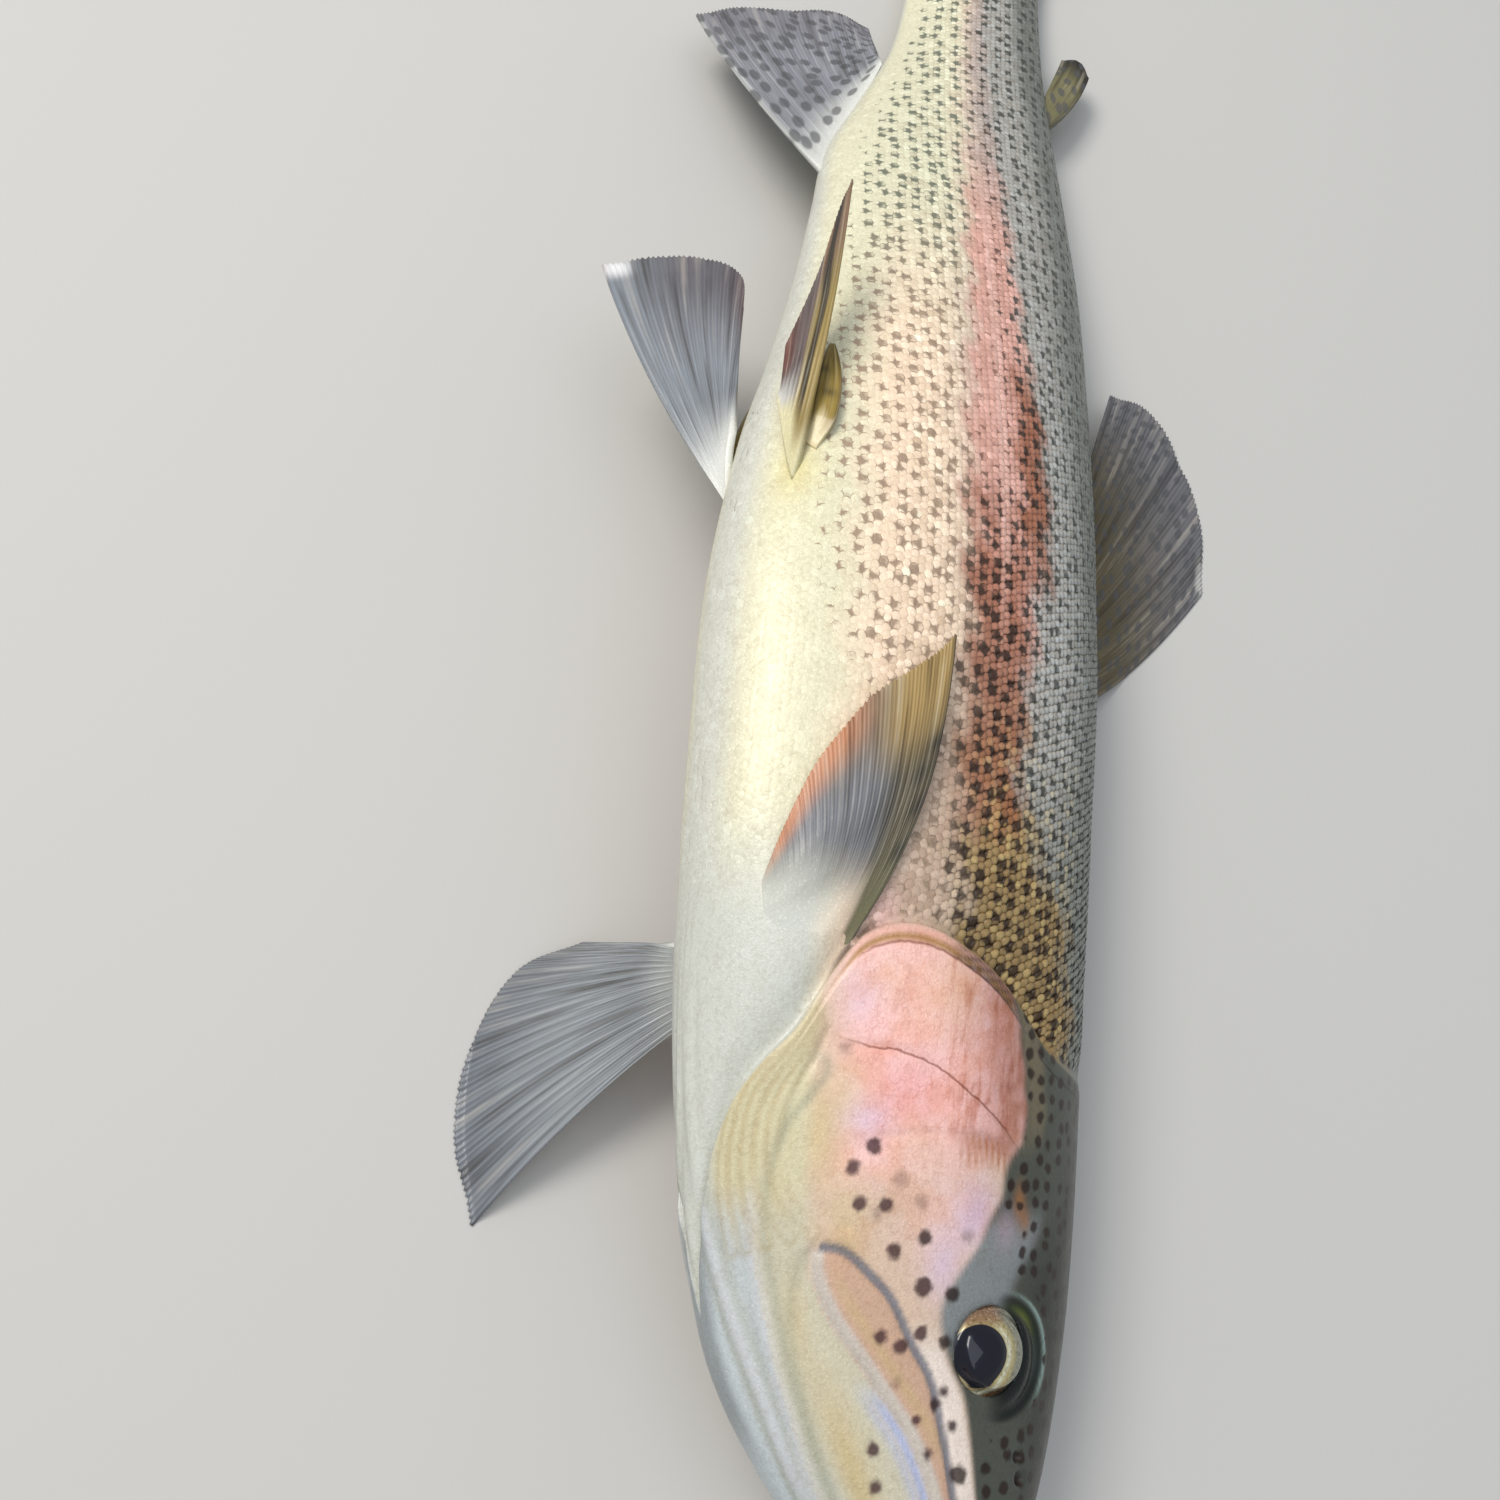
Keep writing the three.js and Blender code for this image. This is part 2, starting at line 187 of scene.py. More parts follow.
def girth(x, phi):
    """Millimetres of hide for each radian round the body."""
    return np.hypot(reach_at(x, np.cos(phi)) * np.sin(phi), section(3, x) * np.cos(phi))


# Distance round the body from the side line, upward positive, by x and phi.
ARC_X = np.linspace(1, BODY_LENGTH, 148)
ARC_PHI = np.radians(np.linspace(0, 180, 181))
steps = girth(ARC_X[:, None], ARC_PHI[None, :]) * np.radians(1)
ARC = np.cumsum(steps, axis=1) - 0.5 * steps
ARC = ARC[:, 90:91] - ARC


def rise(x, phi):
    """Distance up or down the side from the side line, in mm."""
    i = np.clip((x - ARC_X[0]) / (ARC_X[1] - ARC_X[0]), 0, len(ARC_X) - 1.001)
    j = np.clip(degrees_round(phi), 0, 179.999)
    i0, j0 = i.astype(int), j.astype(int)
    fx, fj = i - i0, j - j0
    low = ARC[i0, j0] * (1 - fj) + ARC[i0, j0 + 1] * fj
    high = ARC[i0 + 1, j0] * (1 - fj) + ARC[i0 + 1, j0 + 1] * fj
    return low * (1 - fx) + high * fx


def traced(points, steps=5):
    """A smooth line on the hide through places given as x and degrees, as x and rise."""
    points = np.asarray(points, float)
    at = np.linspace(0, len(points) - 1, steps * (len(points) - 1) + 1)
    x, degrees = (through(np.arange(len(points)), points[:, k], at) for k in (0, 1))
    return np.stack([x, rise(x, np.radians(degrees))], -1)


def distance(x, up, line, reach=6.0):
    """Distance over the hide from a traced line in mm, up to a reach."""
    best = np.full(x.shape, reach)
    low, high = line.min(0) - reach, line.max(0) + reach
    near = (x > low[0]) & (x < high[0]) & (up > low[1]) & (up < high[1])
    px, pu, found = x[near], up[near], best[near]
    for (ax, au), (bx, bu) in zip(line[:-1], line[1:]):
        run = (bx - ax) ** 2 + (bu - au) ** 2
        t = np.clip(((px - ax) * (bx - ax) + (pu - au) * (bu - au)) / run, 0, 1)
        found = np.minimum(found, np.hypot(px - ax - t * (bx - ax), pu - au - t * (bu - au)))
    best[near] = found
    return best


def bell(value, width):
    return np.exp(-((value / width) ** 2))


def ridge(x, up, line, high, wide, past=0.0):
    """A soft ridge of a height and width along a traced line, or beside it."""
    return high * bell(distance(x, up, line) - past, wide)


def blend_lines(first, second, share):
    return [(a + (c - a) * share, b + (d - b) * share) for (a, b), (c, d) in zip(first, second)]


maxilla_line, preopercle_line, fold_line = traced(MAXILLA_TOP), traced(PREOPERCLE), traced(CHEEK_FOLD)
membrane_line, jaw_line, chin_line = traced(MEMBRANE), traced(JAW_FOLD), traced(CHIN_FOLD)
inter_line, fan_line = traced(INTEROPERCLE), traced(FAN_EDGE)
ray_lines = [traced(blend_lines(INTEROPERCLE, FAN_EDGE, share)) for share in (0.2, 0.38, 0.56, 0.72, 0.87)]
mouth_x, mouth_d = np.array(MOUTH, float).T
mouth_line = traced(np.stack([mouth_x, 90 + np.degrees(np.arcsin(-mouth_d / section(2, mouth_x)))], -1))


def patch(x, d, at, size):
    return np.exp(-(((x - at[0]) / size[0]) ** 2) - (((d - at[1]) / size[1]) ** 2))


def tail_end(phi):
    """The hide ends on the tail fin in a curve, furthest back along the side."""
    return BODY_LENGTH - 0.5 - 5 * np.cos(phi) ** 2


def tail_taper(x, phi):
    """The sides draw in to the thickness of the tail fin at its root."""
    return 2.5 * smooth(-17, -0.5, x - tail_end(phi)) * np.sin(phi) ** 2


def gill_opening(turn, behind):
    """How open the gill is at a height, and how far the hide drops under the rim before it rises again."""
    open_part = smooth(60, 70, turn) * (1 - 0.6 * smooth(172, 180, turn))
    return open_part, open_part * OPENING_DEPTH * smooth(0.0, 0.5, behind) * smooth(11, 1.5, behind)


def breast_swell(x, turn, behind):
    """Fleshy base of the pectoral fin, and the bare hide of the breast in front of the scales."""
    fin_base = 0.35 * patch(x, turn, FIN_BASE, (8, 13)) * smooth(0, 5, behind)
    return fin_base + 0.5 * smooth(134, 146, turn) * smooth(0, 6, behind) * smooth(135, 118, x)


def head_relief(x, phi, d):
    """How far the hide lies under the outline, in mm."""
    turn = degrees_round(phi)
    up = rise(x, phi)
    behind = x - rim_at(turn)
    depth = HEAD_DEPTH + (TRUNK_DEPTH - HEAD_DEPTH) * smooth(-2, 3, behind) + tail_taper(x, phi)
    open_part, drop = gill_opening(turn, behind)
    depth = depth + drop - breast_swell(x, turn, behind)
    # soft rim: a thin ledge round the hard gill cover
    ledge = smooth(-3.4, -2.9, behind) * smooth(0.6, -0.2, behind) * smooth(140, 128, turn)
    depth = depth + open_part * 0.4 * ledge
    # branchiostegal rays lie in a fan under the cover's lower edge
    for line in ray_lines:
        depth = depth - ridge(x, up, line, 0.16, 0.8)
    depth = depth + ridge(x, up, inter_line, 0.35, 0.9) + ridge(x, up, fan_line, 0.25, 1.0)
    # the membrane's folded edges run forward to the chin
    fold = distance(x, up, jaw_line)
    depth = depth - (0.3 * bell(fold, 1.4) - 0.3 * bell(fold - 2.8, 1.2)) * (1 - 0.6 * smooth(80, 94, x))
    outer = distance(x, up, membrane_line)
    depth = depth - 0.28 * bell(outer, 1.1) + 0.3 * bell(outer - 2.4, 1.1)
    depth = depth + ridge(x, up, chin_line, 0.22, 1.6)
    depth = depth + ridge(x, up, preopercle_line, 0.4, 0.65) + ridge(x, up, fold_line, 0.22, 0.8)
    # upper jaw plate, mouth, and the lower jaw a little inside it
    side = smooth(25, 45, turn) * smooth(165, 150, turn)
    mouth = through(mouth_x, mouth_d, np.clip(x, 1, 70.5))
    under = smooth(0.2, -0.9, d - mouth) * smooth(72, 64, x)
    depth = depth + 0.75 * under * np.exp(-np.maximum(0, mouth - d) / 9)
    lip = distance(x, up, mouth_line)
    depth = depth + 0.9 * bell(lip, 0.55) - 0.12 * bell(lip - 1.7, 0.8) * (1 - under)
    depth = depth + side * ridge(x, up, maxilla_line, 0.7, 0.7)
    # eye hole, with a crescent hollow and a fold of skin toward the back
    r = np.hypot(x - ORBIT_AT[0], d - ORBIT_AT[1])
    backward = smooth(-3, 3, d - ORBIT_AT[1] - 0.15 * (x - ORBIT_AT[0]))
    hole = np.hypot(x - HOLE_AT[0], (d - HOLE_AT[1]) * HOLE_SQUASH)
    depth = depth + 0.25 * smooth(9.8, 7.9, hole) + 6.5 * smooth(EYE_HOLE + 0.05, EYE_HOLE - 0.5, hole)
    depth = depth + 0.8 * backward * bell(r - ORBIT + 2.0, 1.4)
    depth = depth - 0.3 * backward * bell(r - ORBIT, 0.6)
    for nx, nd, size in NOSTRILS:
        depth = depth + 1.3 * np.exp(-((np.hypot(x - nx, d - nd) / size) ** 4))
    return depth


def trunk_depth(x, phi):
    """The hide's depth without the fine relief, for what lies on it."""
    turn = degrees_round(phi)
    return TRUNK_DEPTH + gill_opening(turn, x - rim_at(turn))[1] + tail_taper(x, phi)


def colour(code):
    """A colour such as #8a7f57 as linear light."""
    value = np.array([int(code[i:i + 2], 16) for i in (1, 3, 5)]) / 255
    return np.where(value <= 0.04045, value / 12.92, ((value + 0.055) / 1.055) ** 2.4)


# Markings, shared by the hide and the scales on it.
BACK, SHOULDER, UPPER_FLANK = colour("#767a73"), colour("#a1875a"), colour("#a9a8a2")
FLANK, BREAST_TAN, BELLY, KEEL_SHADE = (colour(c) for c in ("#f6dfc4", "#c2aa96", "#dedbbd", "#cccec6"))
TAIL, BREAST, FIN_ROOT = (colour(c) for c in ("#dbd9bd", "#cacdc4", "#d8b3ab"))
ROSE, RUSSET, SIDE_LINE = colour("#dea99a"), colour("#96593b"), colour("#e9c2b5")
CROWN, CROWN_DARK, TEMPLE, TEMPLE_ROSE = (colour(c) for c in ("#4b4f47", "#2c2f28", "#868c8e", "#a596a2"))
COVER, COVER_HOT, COVER_TOP, COVER_PEACH = (colour(c) for c in ("#efc1bb", "#e9b1ae", "#ab7d73", "#e6c0a8"))
LILAC, GOLD, PEACH_GOLD = colour("#cdbad4"), colour("#c4b187"), colour("#d3b99a")
CHEEK, CHEEK_PALE, UNDER_EYE = colour("#c9b29d"), colour("#e0bfb6"), colour("#dbcfc5")
JAW, JAW_GOLD, JAW_PALE, MEMBRANE_BLUE = (colour(c) for c in ("#bebaa5", "#bcab80", "#bdbfb3", "#b3bcc0"))
FAN, RIDGE_HIGHLIGHT, FOLD_SHADE = colour("#c3bd9d"), colour("#c0c1c4"), colour("#8f917c")
MAXILLA, MAXILLA_GOLD, GROOVE_SHADE = (colour(c) for c in ("#bd9c86", "#bba673", "#6d6f78"))
LIP_PALE_AND_HIGHLIGHT, LIP_BLUE = colour("#bdb7ae"), colour("#aab2cc")
LEDGE_TAN, LEDGE_DARK, RIM_ROSE = colour("#a98250"), colour("#3c2a1c"), colour("#d9aa98")
INK, BROWN_INK, PLUM = (colour(c) for c in ("#1d1e1b", "#221006", "#9e8874"))
# Edge between the dark crown and the pale side of the head: x, and degrees round from the back.
CROWN_EDGE = np.array([
    (2, 80), (20, 84), (30, 86.5), (38, 88), (45, 90), (53, 95), (60, 96), (66, 91),
    (71, 85), (79, 79), (85, 76.5), (89, 72), (100, 73), (108, 77), (130, 80),
])
# Round spots of the cheek as x, d and radius, and fainter ones deep in the hide.
CHEEK_SPOTS = [
    (87.5, -19.1, 1.5), (84, -22.4, 1.4), (78, -20.7, 1.3), (77.7, -15.9, 1.5), (72, -8.2, 1.5),
    (70, -13.9, 1.5), (63.7, -8, 1.9), (62.2, -2.4, 1.5), (56, -15.5, 1.3), (54.1, -11.8, 1.4),
    (56, -8.1, 1.4), (54.1, -3.4, 1.3), (45.8, -3.8, 0.9), (43.8, -5.5, 1.2), (41.5, -9.1, 1.0),
    (40, -2.3, 1.0), (36, -7.4, 1.0), (37.9, -16.7, 1.2), (32, -16.5, 1.1), (32.2, -1.5, 1.8),
]
FAINT_SPOTS = [
    (82, -13.7, 1.6), (78.1, -9.4, 1.3), (72.1, 0.4, 1.4), (76, -17.5, 1.1), (48, -12.5, 1.0),
    (103.9, -26.2, 1.3),
]


def wash(base, *layers):
    """Thin layers of colour over a base, each a colour or its code, and how strongly it lies where."""
    base = colour(base) if isinstance(base, str) else base
    for tint, mask in layers:
        tint = colour(tint) if isinstance(tint, str) else tint
        base = base + (tint - base) * np.clip(mask, 0, 1)[..., None]
    return base


def between(low, high, blur, value):
    return smooth(low - blur, low + blur, value) * smooth(high + blur, high - blur, value)


def crown_edge(x):
    return through(CROWN_EDGE[:, 0], CROWN_EDGE[:, 1], x)


def face_paint(x, turn, up, d):
    """Colours of the head, from crown to chin, with painted shade in its grooves and folds and painted
    highlights on its ridges.
    """
    under = turn - crown_edge(x) - 0.5 * np.sin(x / 2.2 + 1.2 * np.sin(x / 3.1)) * smooth(62, 76, x)
    behind = x - rim_at(turn)
    rusty = 0.5 + 0.5 * np.sin(x / 1.3 + 1.9 * np.sin(turn / 2.1)) * np.sin(turn / 1.4 + x / 2.3)
    ahead = np.interp(up, fold_line[:, 1], fold_line[:, 0]) - x
    hatch = 0.55 + 0.45 * np.sin(2.6 * turn + 0.5 * x)
    mouth = through(mouth_x, mouth_d, np.clip(x, 1, 70.5))
    below = smooth(0.2, -0.6, d - mouth) * smooth(70, 64, x)
    fold, outer = distance(x, up, jaw_line), distance(x, up, membrane_line)
    past = turn > through([14, 32, 44, 58, 72, 83, 92, 100], [155, 150, 146, 146, 148, 146, 141, 131], x)
    face = wash(
        CHEEK,
        (CHEEK_PALE, patch(x, turn, (77, 95), (10, 12))),
        (UNDER_EYE, between(0.5, 9, 2.5, under) * smooth(60, 50, x)),
        (COVER, smooth(80, 91, x + 0.12 * (turn - 90)) * smooth(132, 118, turn)),
        (COVER_HOT, patch(x, turn, (97, 107), (7, 12)) + 0.6 * patch(x, turn, (108, 84), (9, 7))),
        (COVER_PEACH, 0.8 * patch(x, turn, (116, 97), (9, 10)) + 0.5 * patch(x, turn, (116, 116), (5, 6))),
        (PEACH_GOLD, 0.9 * patch(x, turn, (95, 123), (7, 5.5)) + 0.4 * patch(x, turn, (88, 104), (4, 8))),
        (GOLD, 0.9 * patch(x, turn, (90, 129), (9, 5.5)) + 0.6 * patch(x, turn, (74, 121), (9, 5))),
        (LILAC, 0.9 * patch(x, turn, (76, 87), (5.5, 6)) + 0.6 * patch(x, turn, (67, 96), (6, 5))),
        (LILAC, 0.55 * patch(x, turn, (92, 117), (4, 6)) + 0.4 * patch(x, turn, (113, 121), (5, 5))),
        (COVER_TOP, 0.8 * smooth(26, 4, under) * smooth(85, 95, x)),
        ("#93582f", 0.6 * rusty * smooth(14, 2, under) * smooth(84, 90, x)),
        (COVER_TOP, ridge(x, up, fold_line, 0.6, 1.6, 0.6) * smooth(98, 88, turn)),
        # creased, rusty skin just ahead of the cheek's fold
        ("#a5683c", 0.75 * hatch * between(-0.6, 4.5, 1.4, ahead) * between(77, 93, 3, turn)),
        # lower jaw and the folded membrane
        (JAW, np.maximum(below, smooth(127, 134, turn) * smooth(84, 76, x))),
        (FAN, smooth(129, 134, turn) * smooth(74, 82, x)),
        (JAW_GOLD, 0.9 * patch(x, turn, (34, 130), (16, 7)) + 0.5 * patch(x, turn, (60, 136), (8, 4))),
        (JAW_PALE, 0.8 * patch(x, turn, (30, 143), (14, 6))),
        (MEMBRANE_BLUE, 0.85 * past * smooth(84, 70, x)),
        (MEMBRANE_BLUE, 0.7 * smooth(158, 168, turn)),
        # painted shade in the troughs beside the membrane's folds and in the chin's groove, and a painted
        # highlight on the fold ridges
        (FOLD_SHADE, 0.45 * bell(fold - 2.4, 1.0) * (1 - past) + 0.4 * bell(outer - 1.8, 0.9)),
        (RIDGE_HIGHLIGHT, 0.55 * bell(fold, 1.2) * smooth(86, 74, x) + 0.6 * bell(outer, 0.8)),
        (FOLD_SHADE, ridge(x, up, chin_line, 0.3, 1.0)),
    )
    for line in ray_lines:
        face = wash(face, (JAW_GOLD * 0.8, ridge(x, up, line, 0.36, 0.6, 0.9)))
    # painted shade: the head's underside darkens toward the keel
    face = face * (1 - 0.42 * smooth(165, 174, turn) * between(40, 98, 6, x))[..., None]
    # upper jaw plate
    crest = through([p[0] for p in MAXILLA_TOP], [p[1] for p in MAXILLA_TOP], np.clip(x, 12, 71))
    plate = smooth(-0.5, 1.5, turn - crest) * smooth(-0.5, 0.3, d - mouth)
    plate = plate * smooth(71.5, 70, x) * smooth(0, 4, x)
    lip = distance(x, up, mouth_line)
    strip = smooth(0.4, -0.4, d - mouth) * smooth(4.4, 1.2, lip) * smooth(50, 42, x)
    rim = smooth(1.0, 0.3, np.abs(behind + 2.2))
    ledge = between(-3.5, 0.6, 0.3, behind) * smooth(132, 124, turn)
    face = wash(
        face,
        (MAXILLA, 0.95 * plate),
        (MAXILLA_GOLD, 0.45 * plate * bell(lip - 4.2, 1.1) * between(36, 66, 5, x)),
        # pale lip with a painted highlight along the upper jaw plate's lower rim, and again in the blue strip
        # below it
        (LIP_PALE_AND_HIGHLIGHT, 0.9 * plate * smooth(2.8, 1.6, lip)),
        (LIP_BLUE, strip),
        (LIP_PALE_AND_HIGHLIGHT, 0.8 * strip * bell(lip - 1.9, 0.5)),
        # painted shade in the groove over the upper jaw plate
        (GROOVE_SHADE, 0.9 * smooth(1.1, 0.4, distance(x, up, maxilla_line))),
        # soft rim of the gill cover
        (LEDGE_TAN, 0.95 * rim * smooth(130, 122, turn)),
        (RIM_ROSE, 0.8 * between(-1.4, 0.6, 0.4, behind) * between(93, 124, 4, turn)),
        (LEDGE_DARK, 0.9 * ledge * between(60, 98, 5, turn) * (0.45 + 0.55 * np.sin(x * 1.9) ** 2)),
    )
    crown = wash(
        CROWN,
        (CROWN_DARK, 0.8 * smooth(-18, -42, under) + 0.5 * patch(x, turn, (72, 70), (6, 6))),
        (TEMPLE, 0.9 * between(-22, 2, 4, under) * between(53, 75, 4, x)),
        (TEMPLE_ROSE, 0.7 * patch(x, turn, (73, 76), (3.5, 4))),
        (GOLD * 0.45, 0.5 * between(-9, -1, 2, under) * smooth(84, 94, x)),
    )
    ring = np.hypot(x - ORBIT_AT[0], d - ORBIT_AT[1])
    backward = smooth(-3.5, 2, d - ORBIT_AT[1] - 0.15 * (x - ORBIT_AT[0]))
    return wash(
        crown,
        (1.13 * face, smooth(-1.6, 1.6, under)),
        ("#a06a38",
         0.75 * patch(x, turn, (78, 71.5), (3.2, 2.2)) + 0.6 * patch(x, turn, (74.5, 68.5), (2.2, 2.2))),
        # round the eye
        ("#0d1512", 0.98 * smooth(ORBIT - 0.1, ORBIT - 1.1, ring) * backward),
        ("#44524e", 0.5 * bell(ring - ORBIT + 2.0, 0.9) * patch(x, d, (50, 20), (5, 5))),
        # painted highlight: olive on the crescent's upper side toward the tail
        ("#5c6a22", 0.8 * bell(ring - ORBIT + 2.2, 0.8) * patch(x, d, (57.5, 15.5), (3.5, 4))),
        ("#9fb9b3", 0.75 * bell(ring - ORBIT, 0.33) * backward * between(43, 61, 3, x)),
    )


def markings(x, phi, d):
    """The fish's colours at a place: ground, spot colour, how large spots are, and the place in mm."""
    turn = degrees_round(phi)
    side = 1.0 * (phi > np.pi)
    up = rise(x, phi)
    behind = x - rim_at(turn)
    ragged = 1.8 * np.sin(x / 2.9 + 4 * side) + 1.3 * np.sin(x / 1.9 + up) + 0.5 * np.sin(x / 1.1 - 1.7 * up)
    t = turn + 1.6 * np.sin(x / 23 + 3 * side) + 0.8 * ragged
    front = smooth(190, 150, x + 0.6 * (t - 90))
    upper_edge = through([100, 128, 142, 154], [46, 57, 72, 87], x)
    golden = between(0, 101, 8, t + ragged) * front * smooth(-8, 8, t + ragged - upper_edge)
    strength = smooth(165, 200, x) * (1 - 0.8 * smooth(285, 340, x))
    wide = through([140, 180, 240, 280, 340, 440], [8, 10.5, 12, 10, 8, 7], x)
    rust = between(204, 254, 12, x + ragged) * between(74, 84.5, 3, t)
    rust = rust + 0.9 * between(146, 212, 12, x + 2 * ragged) * between(84, 103, 5, t)
    paint = wash(
        BACK,
        (UPPER_FLANK, smooth(48, 72, t) * (0.4 + 0.6 * smooth(140, 170, x))),
        (FLANK, smooth(88, 112, t)),
        (SHOULDER * (0.75 + 0.25 * smooth(128, 152, x))[..., None], golden),
        (BREAST_TAN, 0.9 * between(99, 122, 7, t) * smooth(185, 150, x)),
        (BELLY, smooth(122, 142, t)),
        (TAIL, smooth(235, 310, x) * smooth(92, 112, t)),
        # painted shade: the belly greys toward the keel
        (KEEL_SHADE, 0.9 * smooth(158, 176, turn)),
        ("#d3c884", 0.6 * patch(x, turn, (209, 153), (7, 8))),
        (BREAST, smooth(126, 138, turn) * smooth(150, 124, x)),
        (FIN_ROOT, 0.8 * patch(x, turn, (128, 117), (5, 5))),
        (ROSE, 0.9 * strength * smooth(1.35, 0.55, np.abs(t - 92 + 3.5 * bell(x - 262, 30)) / wide)),
        (RUSSET, 0.9 * rust),
        (SIDE_LINE, 0.6 * bell(up + 1.0, 1.2) * smooth(175, 215, x) * smooth(320, 285, x)),
    )
    ahead = behind < 0.8
    pale = np.ones(x.shape)
    if ahead.any():
        paint = np.array(paint)
        trunk = smooth(-0.5, 0.5, behind[ahead])[..., None]
        face = face_paint(x[ahead], turn[ahead], up[ahead], d[ahead])
        paint[ahead] = face + (paint[ahead] - face) * trunk
        pale[ahead] = smooth(-2.5, 0.5, turn[ahead] - crown_edge(x[ahead]))
    # dark painted shade in the slit between the gill cover's rim and the pectoral fin's leading root
    slit_shade = between(0.1, 1.7, 0.5, behind) * between(118, 129, 3, turn)
    paint = wash(paint, ("#3d211b", 0.85 * slit_shade))
    # spots: their colour and size
    rosy = strength * smooth(1.0, 0.3, np.abs(t - 94) / wide) * smooth(205, 235, x)
    mark = wash(
        INK,
        (PLUM, smooth(93, 106, t) * (1 - 0.7 * rust)),
        ("#46272c", smooth(1, -1, behind) * smooth(88, 94, turn)),
        ("#40443f", 0.85 * smooth(140, 175, x) * smooth(92, 82, t)),
        (BROWN_INK, np.maximum(golden, 0.9 * rust)),
        ("#62685a", smooth(250, 300, x) * smooth(88, 104, t)),
        ("#8d5d4e", 0.8 * rosy * (1 - rust)),
    )
    end = through([100, 150, 180, 200, 240, 280, 340, 440], [114, 124, 143, 150, 154, 155, 150, 142], x)
    spotted = smooth(end + 5, end - 20, t)
    spotted = spotted * (1 - 0.5 * rosy) * (1 + 0.2 * np.maximum(golden, rust)) * smooth(0, 1.5, behind)
    temple = between(58, 76, 3, x) * smooth(-20, -10, turn - crown_edge(x))
    temple = np.maximum(temple, np.hypot(x - EYE_AT[0], d - EYE_AT[1]) < 15)
    spotted = np.maximum(spotted, 0.85 * smooth(1, 0, behind) * (1 - pale) * (1 - temple))
    where = np.stack([x, up + 300 * side, 0.5 + 0 * x], -1)
    return {"paint": paint, "mark": mark, "spotting": spotted, "where": where}


def keep(mesh, fields):
    """Stores values on a mesh's points: places as vectors, other triples as colours."""
    for field, values in fields.items():
        if values.ndim == 1:
            kind, key = "FLOAT", "value"
        elif field in ("where", "dial", "strand"):
            kind, key = "FLOAT_VECTOR", "vector"
        else:
            kind, key = "FLOAT_COLOR", "color"
            values = np.concatenate([np.clip(values, 0, 1), np.ones((len(values), 1))], 1)
        mesh.attributes.new(field, kind, "POINT").data.foreach_set(key, values.astype(np.float32).ravel())


def outward(mesh, merge=False):
    """Points a closed mesh's faces outwards, after its doubles are merged where asked."""
    shape = bmesh.new()
    shape.from_mesh(mesh)
    if merge:
        bmesh.ops.remove_doubles(shape, verts=shape.verts, dist=1e-7)
    bmesh.ops.recalc_face_normals(shape, faces=shape.faces)
    shape.to_mesh(mesh)
    shape.free()
    mesh.polygons.foreach_set("use_smooth", np.ones(len(mesh.polygons), bool))


def shown(name, mesh):
    piece = bpy.data.objects.new(name, mesh)
    bpy.context.scene.collection.objects.link(piece)
    return piece


def lattice(name, rows, columns, spot, fields, bake):
    """A mesh of rows by columns cells. By row and column, spot gives its points, fields the values kept
    on them, and bake their places in the baked map."""
    shape = bmesh.new()
    bmesh.ops.create_grid(shape, x_segments=rows, y_segments=columns, size=1)
    mesh = bpy.data.meshes.new(name)
    shape.to_mesh(mesh)
    shape.free()
    flat = np.empty(len(mesh.vertices) * 3, np.float32)
    mesh.vertices.foreach_get("co", flat)
    flat = flat.reshape(-1, 3)
    row = np.rint((flat[:, 0] + 1) / 2 * rows).astype(int)
    column = np.rint((flat[:, 1] + 1) / 2 * columns).astype(int)
    points = spot(row, column)
    mesh.vertices.foreach_set("co", points.astype(np.float32).ravel())
    keep(mesh, fields(row, column))
    uv = mesh.uv_layers.new(name="OFBake")
    corner = np.empty(len(mesh.loops), np.int32)
    mesh.loops.foreach_get("vertex_index", corner)
    uv.data.foreach_set("uv", bake(row, column)[corner].astype(np.float32).ravel())
    outward(mesh, merge=True)
    return shown(name, mesh)


# Rows of cells over the head, steps past the gill cover's rim in mm, rows over the trunk, cells round.
HEAD_ROWS, TRUNK_ROWS, ROUND = 256, 38, 330
RIM_STEPS = (0.02, 0.14, 0.34, 0.62, 1.0, 1.6, 2.4)
head_u = (np.arange(HEAD_ROWS) / (HEAD_ROWS - 1)) ** 1.12
trunk_u = np.arange(1, TRUNK_ROWS + 1) / TRUNK_ROWS
trunk_u = 0.25 * trunk_u + 0.375 * (1 - np.cos(np.pi * trunk_u))
row_share = np.concatenate([head_u, np.ones(len(RIM_STEPS)), np.ones(TRUNK_ROWS)])
row_past = np.concatenate([np.zeros(HEAD_ROWS), RIM_STEPS, np.full(TRUNK_ROWS, RIM_STEPS[-1])])
row_trunk = np.concatenate([np.zeros(HEAD_ROWS + len(RIM_STEPS)), trunk_u])
SKIN_ROWS = len(row_share)


def skin_place(row, column):
    """x, phi and d of the hide's points; the last row closes it inside the tail fin."""
    last = row == SKIN_ROWS
    row = np.minimum(row, SKIN_ROWS - 1)
    phi = 2 * np.pi * (column % ROUND) / ROUND
    rim = rim_at(degrees_round(phi))
    x = rim * row_share[row] + row_past[row]
    x = x + (tail_end(phi) - x) * row_trunk[row]
    d = reach_at(x, np.cos(phi)) * np.cos(phi)
    # rows near the eye hole are drawn onto its edge
    r = np.hypot(x - HOLE_AT[0], (d - HOLE_AT[1]) * HOLE_SQUASH)
    near = np.abs(r - EYE_HOLE) < 0.42
    pull = np.where(near, EYE_HOLE / np.maximum(r, 1), 1)
    x = HOLE_AT[0] + (x - HOLE_AT[0]) * pull
    d = HOLE_AT[1] + (d - HOLE_AT[1]) * pull
    turned = np.arccos(np.clip(d / np.maximum(reach_at(x, d), 1e-3), -1, 1))
    phi = np.where(near, np.where(phi > np.pi, 2 * np.pi - turned, turned), phi)
    return x, phi, d, last


def skin_points(row, column):
    x, phi, d, last = skin_place(row, column)
    points = hide(x, phi, head_relief(x, phi, d))
    points[last] = ORIGIN + MM * place(BODY_LENGTH - 0.5, 0, 0)
    return points


